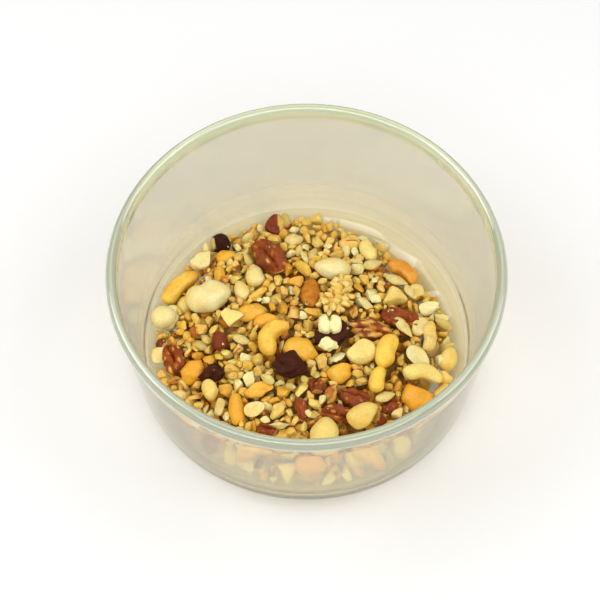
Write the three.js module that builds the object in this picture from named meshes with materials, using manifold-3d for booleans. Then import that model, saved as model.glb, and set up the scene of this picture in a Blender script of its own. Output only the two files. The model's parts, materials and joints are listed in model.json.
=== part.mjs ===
// A clear glass bowl with a heap of nut crunch in it: chopped and whole cashews, peanuts, almonds,
// macadamias, pecans, walnuts, hazelnuts and sunflower kernels, loose on the bowl's floor.
// Millimetres, +Z up. The origin is the centre of the bowl's foot, on the table. The side that
// faces -Y is the near side.
import * as THREE from "three";
import { mergeVertices } from "three/addons/utils/BufferGeometryUtils.js";
import Module from "manifold-3d";

const wasm = await Module();
wasm.setup();

// ---- The bowl's driving dimensions ----
const RIM_RADIUS = 84; // over the bead
const BOWL_HEIGHT = 80;
const FOOT_RADIUS = 64; // the flat that stands on the table
const FOOT_CORNER = 14; // outer radius between foot and wall
const CORNER_STEPS = 5;
const WALL_TOP_RADIUS = 83.2; // outside of the wall, just under the bead
const WALL = 4;
const BEAD_HALF_WIDTH = 2.8;
const BEAD_HALF_HEIGHT = 3.4;
const BEAD_OVER_WALL = 0.8; // the wall meets the bead this share of its half-height under its middle
const BEAD_STEPS = 8;
const FLOOR = 5; // glass under the nuts
const FLOOR_CORNER = 16; // inner radius between floor and wall
const BOWL_SIDES = 64;

// ---- The heap's driving dimensions ----
const GLASS_GAP = 0.4; // air between nuts and glass
const HEAP_CENTRE = new THREE.Vector2(-3, -1); // the nuts lie a little to the left
const HEAP_RADIUS = 67;
const HEAP_EDGE = 12; // height of the surface where the nuts meet the wall
const HEAP_CROWN = 22.5; // and at the middle of the heap
const HOLLOW_ANGLE = THREE.MathUtils.degToRad(48); // far right, where the nuts keep off the wall
const HOLLOW_WIDTH = THREE.MathUtils.degToRad(34);
const HOLLOW_DEPTH = 4.5;
const HEAP_SIDES = 24;
const CORE_DEPTH = 2.2; // the solid core lies this far under the surface of the pieces
const CORE_INSET = 1; // and this far inside the heap's outline
const STANDING = 0.5; // a piece's middle stands this share of its half-height above the core

// ---- The pieces that stand out: [x, y, heading in degrees, length, width] ----
const CASHEWS = [
  [-59, 25, 52, 21, 7.5], [44, 34, -42, 17, 7.5], [52, -21, -6, 19, 7.5], [37, -11, 72, 18, 8.5],
  [32, -25, 76, 14, 6.5], [57, 1, 95, 12, 5.5], [-42, -29, 104, 11, 7], [-22, -57, 15, 18, 8],
  [26, -59, -25, 17, 7.5],
];
const CURL = [-14, -5, 70, 17, 8]; // the whole cashew in the middle, curled the most
const CASHEW_TURN = 2; // radians from end to end
const CURL_TURN = 2.9;
const HALVES = [
  [-25, 10, 16, 15, 8], [-19, 5, 8, 12, 6.5], [-51, -18, 60, 12, 10], [15, -20, 60, 11, 9],
  [50, -29, 35, 13, 11], [-2, -11, -5, 15, 8], [-31, -37, 95, 14, 7], [-49, 40, 5, 10, 7.5],
  [-65, 9, 20, 9.5, 8.5], [50, -12, -52, 12, 8], [25, -43, 30, 12, 10], [-21, -29, 22, 12, 6.5],
  [-52, -42, 40, 12, 8], [2, -63, 0, 13, 8],
];
const WHOLE_NUTS = [
  [-45, 19, 20, 20, 15.5], [12, 33, -6, 16, 10.5], [-24, 30, 100, 12, 8], [-30, 22, 112, 9.5, 6.5],
  [2, 20, 84, 15, 8], [-38, 42, 5, 8, 6], [21, 50, 10, 10.5, 7], [8, -47, 10, 13, 10],
  [55, -4, 30, 9, 8], [52, 4, 52, 9, 7.5], [-23, -38, 30, 8, 7],
];
const WRINKLED = [
  [-17, 41, -52, 17, 12], [43, 8, -16, 18, 9], [29, 1, -12, 19, 9], [14, -3, 75, 16, 13],
  [-7, -19, 5, 13, 10], [-60, -11, 104, 14, 8], [-42, -20, 10, 10, 8], [22, -33, -25, 13, 8],
  [14, -40, -8, 14, 8], [38, -35, 10, 10, 7], [5, -27, 70, 8, 7], [-2, -38, 102, 12, 5],
  [-41, -52, -30, 14, 8], [44, -47, 60, 12, 8], [-17, -47, -10, 10, 4.5],
];
const CHUNKS = [
  [-18, 61, 0, 8, 6], [-40, 51, 40, 9, 8], [-34, 4, -10, 11, 7], [30, 46, 65, 12, 8],
  [57, 15, 20, 8, 7], [40, 20, 80, 10, 9], [24, -11, 0, 12, 10], [-39, -5, 88, 8, 5],
  [-4, 27, 60, 7, 5], [40, -40, 0, 7, 6], [31, -41, 30, 8, 6], [-12, -45, 0, 8, 5],
  [13, 14, 20, 14, 12], [61, -12, 0, 6, 6], [-65, -4, 0, 6, 5], [-6, 52, 15, 9, 7],
  [-39, -38, 62, 9, 5], [-58, -30, 0, 9, 7], [-8, -66, 0, 10, 6],
];
const SEEDS = [
  [42, 29, -25, 10, 5], [48, 23, -60, 9, 5], [44, 3, -56, 12, 5], [35, -33, 22, 9, 4.5],
  [31, 37, 20, 9, 5], [3, 43, 70, 10, 5], [-14, 17, 50, 9, 5], [-48, -5, -20, 9, 5],
];

// ---- The small chopped bits between them ----
const BIT_PLACES = 122; // some of them are under a large piece and stay empty
const BIT_SIZE = [2.9, 4.4]; // smallest and largest half-length
const BIT_WIDTH = [0.62, 0.92]; // share of the length
const BIT_HEIGHT = 0.8;
const BIT_ROOM = 1; // kept free round a large piece
const SEED = 20;

// Repeatable random numbers from 0 to 1.
function randomFrom(seed) {
  let state = seed >>> 0;
  return () => {
    state = (state + 0x6d2b79f5) >>> 0;
    let t = Math.imul(state ^ (state >>> 15), state | 1);
    t ^= t + Math.imul(t ^ (t >>> 7), t | 61);
    return ((t ^ (t >>> 14)) >>> 0) / 4294967296;
  };
}

// Points on an arc in the lathe's (radius, height) plane, angles in radians.
function arc(centreR, centreZ, rR, rZ, from, to, steps) {
  const points = [];
  for (let i = 0; i <= steps; i++) {
    const a = from + ((to - from) * i) / steps;
    points.push(new THREE.Vector2(centreR + rR * Math.cos(a), centreZ + rZ * Math.sin(a)));
  }
  return points;
}

// The angle at which a straight wall from (topR, topZ) meets a corner's circle from outside.
function tangentAngle(centreR, centreZ, radius, topR, topZ) {
  const reach = Math.hypot(topR - centreR, topZ - centreZ);
  return Math.atan2(topZ - centreZ, topR - centreR) - Math.acos(radius / reach);
}

// ---- The inner face of the glass, which the heap follows ----
const BEAD_Z = BOWL_HEIGHT - BEAD_HALF_HEIGHT;
const BEAD_R = RIM_RADIUS - BEAD_HALF_WIDTH;
const WALL_TOP_Z = BEAD_Z - BEAD_OVER_WALL * BEAD_HALF_HEIGHT;
const INNER_TOP_RADIUS = WALL_TOP_RADIUS - WALL;
const FLOOR_RADIUS = FOOT_RADIUS + FOOT_CORNER - WALL - FLOOR_CORNER;
const INNER_ANGLE = tangentAngle(
  FLOOR_RADIUS, FLOOR + FLOOR_CORNER, FLOOR_CORNER, INNER_TOP_RADIUS, WALL_TOP_Z);

// Inner radius of the glass at height z.
function innerRadius(z) {
  const bend = FLOOR + FLOOR_CORNER * (1 + Math.sin(INNER_ANGLE));
  if (z <= bend) {
    const drop = FLOOR + FLOOR_CORNER - z;
    return FLOOR_RADIUS + Math.sqrt(Math.max(0, FLOOR_CORNER ** 2 - drop ** 2));
  }
  const bendRadius = FLOOR_RADIUS + FLOOR_CORNER * Math.cos(INNER_ANGLE);
  return THREE.MathUtils.mapLinear(z, bend, WALL_TOP_Z, bendRadius, INNER_TOP_RADIUS);
}

// One closed profile, from the underside's middle, up the outside, over the bead and down inside.
function bowlGeometry() {
  const outerAngle = tangentAngle(
    FOOT_RADIUS, FOOT_CORNER, FOOT_CORNER, WALL_TOP_RADIUS, WALL_TOP_Z);
  const beadFrom = -Math.asin(BEAD_OVER_WALL) / 2;
  const profile = [
    new THREE.Vector2(0, 0),
    ...arc(FOOT_RADIUS, FOOT_CORNER, FOOT_CORNER, FOOT_CORNER,
      -Math.PI / 2, outerAngle, CORNER_STEPS),
    new THREE.Vector2(WALL_TOP_RADIUS, WALL_TOP_Z),
    ...arc(BEAD_R, BEAD_Z, BEAD_HALF_WIDTH, BEAD_HALF_HEIGHT,
      beadFrom, Math.PI - beadFrom, BEAD_STEPS),
    new THREE.Vector2(INNER_TOP_RADIUS, WALL_TOP_Z),
    ...arc(FLOOR_RADIUS, FLOOR + FLOOR_CORNER, FLOOR_CORNER, FLOOR_CORNER,
      INNER_ANGLE, -Math.PI / 2, CORNER_STEPS),
    new THREE.Vector2(0, FLOOR),
  ];
  return upright(new THREE.LatheGeometry(profile, BOWL_SIDES));
}

// LatheGeometry turns about +Y: this stands it on +Z.
function upright(geometry) {
  return geometry.rotateX(Math.PI / 2);
}

// How far the heap reaches from its own centre, at an angle in plan.
function heapReach(angle) {
  const off = Math.atan2(Math.sin(angle - HOLLOW_ANGLE), Math.cos(angle - HOLLOW_ANGLE));
  const uneven = 0.9 * Math.sin(5 * angle + 1) + 0.7 * Math.sin(9 * angle);
  return HEAP_RADIUS + uneven - HOLLOW_DEPTH * Math.exp(-((off / HOLLOW_WIDTH) ** 2));
}

// Height of the heap's general surface at a place in plan.
function heapTop(x, y) {
  const dx = x - HEAP_CENTRE.x;
  const dy = y - HEAP_CENTRE.y;
  const share = Math.min(1, Math.hypot(dx, dy) / heapReach(Math.atan2(dy, dx)));
  return HEAP_EDGE + (HEAP_CROWN - HEAP_EDGE) * (1 - share ** 2);
}

// Height of the core under the pieces.
function coreTop(x, y) {
  return heapTop(x, y) - CORE_DEPTH;
}

// The solid under the loose pieces: rings from the floor out to the wall, then in over the crown.
function coreGeometry() {
  const shares = [
    { share: 0, under: true }, { share: 0.86, under: true }, { share: 0.95, under: true },
    { share: 1, side: 0.5 }, { share: 0.96 }, { share: 0.75 }, { share: 0.4 }, { share: 0 },
  ];
  const profile = shares.map(({ share }) => new THREE.Vector2(share, 0));
  const geometry = upright(new THREE.LatheGeometry(profile, HEAP_SIDES));
  const position = geometry.attributes.position;
  for (let i = 0; i < position.count; i++) {
    const ring = shares[i % shares.length];
    const angle = Math.atan2(position.getY(i), position.getX(i));
    const reach = ring.share * (heapReach(angle) - CORE_INSET);
    let x = HEAP_CENTRE.x + reach * Math.cos(angle);
    let y = HEAP_CENTRE.y + reach * Math.sin(angle);
    const underside = floorHeight(Math.hypot(x, y));
    const surface = coreTop(x, y);
    let z = ring.under ? underside : surface;
    if (ring.side) {
      z = THREE.MathUtils.lerp(underside, surface, ring.side);
    }
    const most = innerRadius(z) - GLASS_GAP;
    const radius = Math.hypot(x, y);
    if (radius > most) {
      x *= most / radius;
      y *= most / radius;
    }
    position.setXYZ(i, x, y, z);
  }
  return geometry;
}

// Height just above the glass at a distance from the bowl's axis.
function floorHeight(radius) {
  const out = Math.max(0, radius - FLOOR_RADIUS);
  const corner = FLOOR_CORNER - GLASS_GAP;
  const rise = corner - Math.sqrt(Math.max(0, corner ** 2 - out ** 2));
  return FLOOR + GLASS_GAP + rise;
}

// ---- Shapes of nut, each lying along +X with its middle at the origin ----

// A ball with its poles on X, scaled to half-sizes.
function ball(halfX, halfY, halfZ, round, rings) {
  return new THREE.SphereGeometry(1, round, rings)
    .rotateZ(-Math.PI / 2)
    .scale(halfX, halfY, halfZ);
}

// Moves every vertex of a geometry by a function of its place.
function shape(geometry, move) {
  const position = geometry.attributes.position;
  const place = new THREE.Vector3();
  for (let i = 0; i < position.count; i++) {
    place.fromBufferAttribute(position, i);
    move(place);
    position.setXYZ(i, place.x, place.y, place.z);
  }
  return geometry;
}

// A bent body with full ends, one of them fatter. Its back is towards +Y.
function cashewShape(length, width, turn = CASHEW_TURN) {
  const radius = (length - width / 2) / (2 * Math.sin(turn / 2));
  const middle = (radius * (1 + Math.cos(turn / 2))) / 2;
  const taper = 0.16;
  return shape(ball(1, 1, 1, 6, 7), (p) => {
    const along = (p.x * turn) / 2;
    const fat = (width / 2) * (1 - taper * p.x) * Math.sqrt(1 + p.x ** 2);
    const out = radius + p.y * fat;
    p.set(out * Math.sin(along), out * Math.cos(along) - middle, p.z * fat);
  });
}

// A nut split in two, lying on its flat face.
function halfShape(length, width) {
  const flatFace = -width / 4;
  return shape(ball(length / 2, width / 2, width / 2, 6, 4), (p) => {
    p.z = Math.max(p.z, flatFace);
  });
}

function wholeShape(length, width) {
  return ball(length / 2, width / 2, 0.45 * width, 7, 5);
}

// Furrows along the nut, and a waist across it, as on a pecan or walnut.
function wrinkledShape(length, width) {
  const furrows = 5;
  const furrowDepth = 0.13;
  const waistDepth = 0.08;
  return shape(ball(length / 2, width / 2, 0.38 * width, 7, 5), (p) => {
    const furrow = furrowDepth * Math.cos(furrows * Math.atan2(p.z, p.y));
    const waist = waistDepth * Math.cos((9 * p.x) / length);
    p.y *= 1 - furrow - waist;
    p.z *= 1 - furrow - waist;
  });
}

// Flat faces, as where a nut breaks. Each corner of the blank is pushed in or out at random.
function brokenShape(blank, random) {
  const pushes = new Map();
  return shape(blank, (p) => {
    const corner = [p.x, p.y, p.z].map((v) => v.toFixed(2)).join();
    if (!pushes.has(corner)) {
      pushes.set(corner, THREE.MathUtils.lerp(0.78, 1.18, random()));
    }
    p.multiplyScalar(pushes.get(corner));
  });
}

function chunkShape(length, width, random) {
  return brokenShape(new THREE.IcosahedronGeometry(0.56, 0), random)
    .scale(length, width, 0.75 * width);
}

function bitShape(halfLength, halfWidth, halfHeight, random) {
  const side = 1.35; // a cube about as large as the ball it stands for
  return brokenShape(new THREE.BoxGeometry(side, side, side), random)
    .scale(halfLength, halfWidth, halfHeight);
}

// A kernel with one pointed end.
function seedShape(length, width) {
  return shape(ball(length / 2, width / 2, 0.28 * width, 5, 4), (p) => {
    const towardsPoint = Math.max(0, (2 * p.x) / length);
    p.y *= 1 - 0.45 * towardsPoint;
    p.z *= 1 - 0.45 * towardsPoint;
  });
}

// ---- Joining ----

function solidOf(geometry) {
  const bare = geometry.clone();
  for (const name of Object.keys(bare.attributes)) {
    if (name !== "position") {
      bare.deleteAttribute(name);
    }
  }
  const merged = mergeVertices(bare, 1e-4);
  return new wasm.Manifold(new wasm.Mesh({
    numProp: 3,
    vertProperties: merged.attributes.position.array,
    triVerts: new Uint32Array(merged.index.array),
  }));
}

function geometryOf(solid) {
  const { vertProperties, triVerts } = solid.getMesh();
  const geometry = new THREE.BufferGeometry();
  geometry.setAttribute("position", new THREE.BufferAttribute(vertProperties, 3));
  geometry.setIndex(new THREE.BufferAttribute(triVerts, 1));
  return geometry;
}

// Puts a piece on the heap: rolled, turned to its heading, tilted with the slope and sunk a little
// in the core. A piece too near the glass is moved in along its radius until it is clear.
function lay(geometry, x, y, heading, halfHeight, roll) {
  const reach = 3; // the slope is taken over this distance each way
  const follow = 0.5; // a piece takes on this share of it
  const riseX = heapTop(x + reach, y) - heapTop(x - reach, y);
  const riseY = heapTop(x, y + reach) - heapTop(x, y - reach);
  const turned = geometry.clone()
    .rotateX(roll)
    .rotateZ(heading)
    .rotateY(-follow * Math.atan2(riseX, 2 * reach))
    .rotateX(follow * Math.atan2(riseY, 2 * reach));
  const furthestIn = 12;
  for (let inward = 0; inward < furthestIn; inward += 0.5) {
    const scale = 1 - inward / Math.hypot(x, y);
    const px = x * scale;
    const py = y * scale;
    const placed = turned.clone().translate(px, py, coreTop(px, py) + STANDING * halfHeight);
    if (isClearOfGlass(placed)) {
      return placed;
    }
  }
  return null;
}

function isClearOfGlass(geometry) {
  const position = geometry.attributes.position;
  for (let i = 0; i < position.count; i++) {
    const radius = Math.hypot(position.getX(i), position.getY(i));
    const z = position.getZ(i);
    if (z < FLOOR + GLASS_GAP || radius > innerRadius(z) - GLASS_GAP) {
      return false;
    }
  }
  return true;
}

// Every large piece on the heap, as placed geometries with the radius each takes in plan.
function largePieces() {
  const random = randomFrom(SEED + 1);
  const placed = [];
  const put = (rows, makeShape, tumble) => {
    for (const [x, y, degrees, length, width] of rows) {
      const geometry = makeShape(length, width);
      geometry.computeBoundingBox();
      const heading = THREE.MathUtils.degToRad(degrees);
      const roll = tumble * (random() - 0.5);
      const piece = lay(geometry, x, y, heading, geometry.boundingBox.max.z, roll);
      if (piece) {
        placed.push({ piece, x, y, radius: 0.18 * (length + width) });
      }
    }
  };
  put([CURL], (length, width) => cashewShape(length, width, CURL_TURN), 0);
  put(CASHEWS, (length, width) => cashewShape(length, width), 0.3);
  put(HALVES, halfShape, 0.4);
  put(WHOLE_NUTS, wholeShape, 0);
  put(WRINKLED, wrinkledShape, 0.5);
  put(CHUNKS, (length, width) => chunkShape(length, width, random), 0);
  put(SEEDS, seedShape, 0.6);
  return placed;
}

// Chopped bits on a sunflower spiral over the heap, left out where a large piece lies.
function smallBits(large) {
  const random = randomFrom(SEED);
  const goldenAngle = Math.PI * (3 - Math.sqrt(5));
  const bits = [];
  for (let i = 0; i < BIT_PLACES; i++) {
    const angle = i * goldenAngle + 0.4 * random();
    const out = Math.sqrt((i + 0.5) / BIT_PLACES) * heapReach(angle);
    const x = HEAP_CENTRE.x + out * Math.cos(angle);
    const y = HEAP_CENTRE.y + out * Math.sin(angle);
    const half = THREE.MathUtils.lerp(BIT_SIZE[0], BIT_SIZE[1], random() ** 2);
    const width = half * THREE.MathUtils.lerp(BIT_WIDTH[0], BIT_WIDTH[1], random());
    const height = half * BIT_HEIGHT;
    const bit = bitShape(half, width, height, random);
    const heading = 2 * Math.PI * random();
    const roll = random() - 0.5;
    if (large.some((p) => Math.hypot(p.x - x, p.y - y) < p.radius + BIT_ROOM)) {
      continue;
    }
    const placed = lay(bit, x, y, heading, height, roll);
    if (placed) {
      bits.push(placed);
    }
  }
  return bits;
}

// The core and all that shows on it, as one solid. A piece that touches nothing is dropped.
function heapGeometry() {
  const large = largePieces();
  const bits = smallBits(large);
  const solids = [coreGeometry(), ...large.map((p) => p.piece), ...bits].map(solidOf);
  const joined = wasm.Manifold.union(solids);
  const bodies = joined.decompose().sort((a, b) => b.volume() - a.volume());
  return geometryOf(bodies[0]);
}

// ---- The scene graph ----
const glass = new THREE.MeshStandardMaterial({
  name: "glass", color: 0xd2dcc4, roughness: 0.05, metalness: 0, transparent: true, opacity: 0.35,
});
const roastedNuts = new THREE.MeshStandardMaterial({
  name: "nuts", color: 0xd9ae62, roughness: 0.6, metalness: 0,
});

const bowl = new THREE.Mesh(bowlGeometry(), glass);
bowl.name = "glass_bowl";

const heap = new THREE.Mesh(heapGeometry(), roastedNuts);
heap.name = "nut_heap";

const part = new THREE.Group();
part.add(bowl, heap);
export default part;
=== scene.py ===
# %% [markdown]
# # A glass bowl of nut crunch
# A round bowl of clear pressed glass stands on a pale table. A low heap of nut crunch lies in it:
# whole and broken cashews, peanuts, macadamias, almonds, pecans, walnuts, hazelnuts and sunflower
# kernels, with a great many small chopped bits between them. The solid model gives the bowl's size
# and the heap's outline. Here the bowl becomes real glass, and the heap becomes over a thousand loose
# nuts that lie on each other. All lengths are millimetres times MM, because Blender works in metres.

import json
import math

import bmesh
import bpy
import numpy as np
from mathutils import Euler, Matrix, Vector

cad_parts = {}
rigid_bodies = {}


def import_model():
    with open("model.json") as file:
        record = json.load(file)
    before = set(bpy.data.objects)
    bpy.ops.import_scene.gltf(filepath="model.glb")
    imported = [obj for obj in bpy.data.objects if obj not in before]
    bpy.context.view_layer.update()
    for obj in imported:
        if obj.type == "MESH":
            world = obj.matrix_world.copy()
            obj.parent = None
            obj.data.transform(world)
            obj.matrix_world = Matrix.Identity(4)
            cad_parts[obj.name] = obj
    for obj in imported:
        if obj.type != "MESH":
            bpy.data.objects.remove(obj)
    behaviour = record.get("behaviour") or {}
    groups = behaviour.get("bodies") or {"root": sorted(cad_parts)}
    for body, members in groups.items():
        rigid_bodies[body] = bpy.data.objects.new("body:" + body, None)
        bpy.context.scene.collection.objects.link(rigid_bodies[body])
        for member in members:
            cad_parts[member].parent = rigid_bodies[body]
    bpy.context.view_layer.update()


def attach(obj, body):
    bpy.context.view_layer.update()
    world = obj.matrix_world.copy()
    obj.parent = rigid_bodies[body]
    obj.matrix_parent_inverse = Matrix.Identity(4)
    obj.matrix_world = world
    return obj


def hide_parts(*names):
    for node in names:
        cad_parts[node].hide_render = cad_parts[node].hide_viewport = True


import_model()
MM = 0.001

# %% [markdown]
# ## The camera
# The photograph looks down into the bowl from about sixty degrees. The camera stands 0.6 m from
# the middle of the rim, on the near side, and is turned a little so that the middle of the rim
# falls on its place in the picture. Turning the camera is better than shifting the lens, because
# a turned camera also works from every other side.

# %% Camera
BOWL_HEIGHT = 80
CAMERA_DISTANCE = 0.6
CAMERA_ELEVATION = math.radians(58.6)
FOCAL_LENGTH = 86.5
SENSOR_WIDTH = 36
PICTURE_SIZE = 600
RIM_MIDDLE_PIXEL = (306.5, 262.0)


def make_camera():
    """A camera that sees the rim's middle at RIM_MIDDLE_PIXEL of a square picture."""
    camera = bpy.data.objects.new("camera", bpy.data.cameras.new("camera"))
    bpy.context.scene.collection.objects.link(camera)
    camera.data.lens = FOCAL_LENGTH
    camera.data.sensor_width = SENSOR_WIDTH
    pixels_per_unit = FOCAL_LENGTH / SENSOR_WIDTH * PICTURE_SIZE
    aside = math.atan((RIM_MIDDLE_PIXEL[0] - PICTURE_SIZE / 2) / pixels_per_unit)
    above = math.atan((PICTURE_SIZE / 2 - RIM_MIDDLE_PIXEL[1]) / pixels_per_unit)
    back = CAMERA_DISTANCE * math.cos(CAMERA_ELEVATION)
    up = CAMERA_DISTANCE * math.sin(CAMERA_ELEVATION)
    looks_down = Matrix.Rotation(math.pi / 2 - CAMERA_ELEVATION, 4, "X")
    turned = Matrix.Rotation(aside, 4, "Y") @ Matrix.Rotation(-above, 4, "X")
    camera.matrix_world = Matrix.Translation((0, -back, BOWL_HEIGHT * MM + up)) @ looks_down @ turned
    bpy.context.scene.camera = camera
    return camera


camera = make_camera()
print("camera at", [round(v, 3) for v in camera.matrix_world.translation])

# %% [markdown]
# ## Helpers for node trees
# A geometry tree is built once, with named inputs, and run on an object. Running it sets the inputs
# by the sockets' identifiers, takes the evaluated mesh and drops the modifier, so that a plain mesh
# is left. A few short helpers add the nodes that shader trees use most, and give back their result.


# %% Node tree helpers
def new_tree(name, inputs):
    """A geometry node tree with a Geometry input and output and the given (name, type, default) inputs."""
    tree = bpy.data.node_groups.new(name, "GeometryNodeTree")
    tree.interface.new_socket("Geometry", in_out="INPUT", socket_type="NodeSocketGeometry")
    for label, kind, default in inputs:
        socket = tree.interface.new_socket(label, in_out="INPUT", socket_type=kind)
        if default is not None:
            socket.default_value = default
    tree.interface.new_socket("Geometry", in_out="OUTPUT", socket_type="NodeSocketGeometry")
    return tree


def add(tree, kind, links=(), **settings):
    """A new node with its settings and the links that feed it, as (input, output socket or value)."""
    node = tree.nodes.new(kind)
    for key, value in settings.items():
        setattr(node, key, value)
    for socket, source in links:
        if isinstance(source, bpy.types.NodeSocket):
            tree.links.new(source, node.inputs[socket])
        else:
            node.inputs[socket].default_value = source
    return node


def maths(tree, operation, *values, clamp=False):
    """The result of a Math node."""
    return add(tree, "ShaderNodeMath", enumerate(values), operation=operation, use_clamp=clamp).outputs[0]


def map_range(tree, value, from_min, from_max, to_min, to_max):
    """A value moved from one range to another, and kept inside it."""
    return add(tree, "ShaderNodeMapRange", [
        ("Value", value), ("From Min", from_min), ("From Max", from_max),
        ("To Min", to_min), ("To Max", to_max)]).outputs[0]


def blend(tree, share, first, second):
    """A colour between two: the first where the share is 0, the second where it is 1."""
    return add(tree, "ShaderNodeMix", [(0, share), (6, first), (7, second)], data_type="RGBA").outputs[2]


def dimmed(tree, colour, factor):
    """A colour times one number."""
    return add(tree, "ShaderNodeVectorMath", [(0, colour), ("Scale", factor)], operation="SCALE").outputs[0]


def run_tree(thing, tree, values):
    """Runs the tree on an object with the given inputs and keeps the result as its plain mesh."""
    modifier = thing.modifiers.new(tree.name, "NODES")
    modifier.node_group = tree
    for item in tree.interface.items_tree:
        if item.in_out == "INPUT" and item.name in values:
            modifier[item.identifier] = values[item.name]
    thing.update_tag()
    evaluated = thing.evaluated_get(bpy.context.evaluated_depsgraph_get())
    mesh = bpy.data.meshes.new_from_object(evaluated)
    thing.modifiers.remove(modifier)
    thing.data = mesh
    mesh.name = thing.name
    return thing


def point_outwards(mesh):
    """Turns every closed shell of a mesh so that its faces point out."""
    work = bmesh.new()
    work.from_mesh(mesh)
    bmesh.ops.recalc_face_normals(work, faces=work.faces)
    work.to_mesh(mesh)
    work.free()


# %% [markdown]
# ## Materials: colours and shared effects
# Colours are written as the eye sees them, from 0 to 255, and turned into Blender's linear values.
# Nut flesh is never one colour: it is mottled by the roast, darker where the skin was, and grainy
# where it broke. That mottling is used by every nut, so it is one shader node group with named
# inputs. It only puts out a colour and a height. The shader itself stays in each material.


# %% Colour helper
def eye_colour(red, green, blue):
    """A linear colour from one given as the eye sees it, 0 to 255."""
    linear = []
    for value in (red, green, blue):
        share = value / 255
        linear.append(share / 12.92 if share <= 0.04045 else ((share + 0.055) / 1.055) ** 2.4)
    return (*linear, 1.0)


# %% The mottled flesh group
PATCH_CONTRAST = 2.2
SKIN_MISSING_BELOW = 0.32
GRAIN_PER_METRE = 1400.0
# Painted shade: colours far down between the nuts are multiplied by this.
PAINTED_SHADE_TINT = (0.86, 0.57, 0.16)


def make_roast_group():
    """Mottled nut colour: pale to roasted by patches, skin over it, painted shade where the nuts lie far
    down, and fine grain as height.
    """
    group = bpy.data.node_groups.new("roasted nut", "ShaderNodeTree")
    for label in ("Pale", "Roasted", "Skin"):
        group.interface.new_socket(label, in_out="INPUT", socket_type="NodeSocketColor")
    for label in ("Skin amount", "Patch size", "Shift", "Spread", "Grain"):
        group.interface.new_socket(label, in_out="INPUT", socket_type="NodeSocketFloat")
    group.interface.new_socket("Colour", in_out="OUTPUT", socket_type="NodeSocketColor")
    group.interface.new_socket("Height", in_out="OUTPUT", socket_type="NodeSocketFloat")
    inputs = add(group, "NodeGroupInput").outputs
    place = add(group, "ShaderNodeTexCoord").outputs["Object"]
    tone = add(group, "ShaderNodeAttribute", attribute_name="tone").outputs["Fac"]
    # The piece's painted shade: how far down between the nuts or in a groove a place lies.
    deep = add(group, "ShaderNodeAttribute", attribute_name="deep").outputs["Fac"]
    skin = add(group, "ShaderNodeAttribute", attribute_name="skin").outputs["Fac"]
    scale = maths(group, "DIVIDE", 1 / MM, inputs["Patch size"])
    patches = add(group, "ShaderNodeTexNoise", [("Vector", place), ("Scale", scale), ("Detail", 4.0),
                                                ("Roughness", 0.6)]).outputs["Fac"]
    grain = add(group, "ShaderNodeTexNoise", [("Vector", place), ("Scale", GRAIN_PER_METRE), ("Detail", 2.0),
                                              ("Roughness", 0.7)]).outputs["Fac"]
    # How roasted a place is: the patch noise, moved by the piece's own tone.
    by_patch = maths(group, "MULTIPLY", maths(group, "SUBTRACT", patches, 0.5), PATCH_CONTRAST)
    off_middle = maths(group, "SUBTRACT", tone, 0.5)
    by_tone = maths(group, "MULTIPLY_ADD", off_middle, inputs["Spread"], inputs["Shift"])
    roast = maths(group, "ADD", maths(group, "ADD", by_patch, by_tone), 0.5, clamp=True)
    flesh = blend(group, roast, inputs["Pale"], inputs["Roasted"])
    # Skin is missing where the patch noise is lowest, and worn elsewhere.
    skinned = maths(group, "MULTIPLY", skin, inputs["Skin amount"])
    ragged = maths(group, "GREATER_THAN", patches, SKIN_MISSING_BELOW)
    covered = maths(group, "MULTIPLY", skinned, ragged, clamp=True)
    worn_skin = dimmed(group, inputs["Skin"], map_range(group, patches, 0.3, 0.7, 0.6, 1.35))
    coat = blend(group, covered, flesh, worn_skin)
    speckled = dimmed(group, coat, map_range(group, grain, 0.3, 0.7, 0.77, 0.98))
    # Painted shade: the colour turns darker and browner where a place lies far down between the nuts or in a
    # groove.
    painted_shade_colour = add(group, "ShaderNodeVectorMath", [(0, speckled), (1, PAINTED_SHADE_TINT)], operation="MULTIPLY")
    shaded = blend(group, deep, speckled, painted_shade_colour.outputs[0])
    height = maths(group, "MULTIPLY", grain, inputs["Grain"])
    add(group, "NodeGroupOutput", [("Colour", shaded), ("Height", height)])
    return group


roast_group = make_roast_group()
print("shared shader group:", roast_group.name)


# %% [markdown]
# ## A material for each nut
# Each nut has its own pale and roasted flesh colours, its skin colour, and its gloss. Roasted nuts
# are slightly oily, so the roughness is middling and a thin clear coat gives the small soft
# highlights that the photograph shows.


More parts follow.
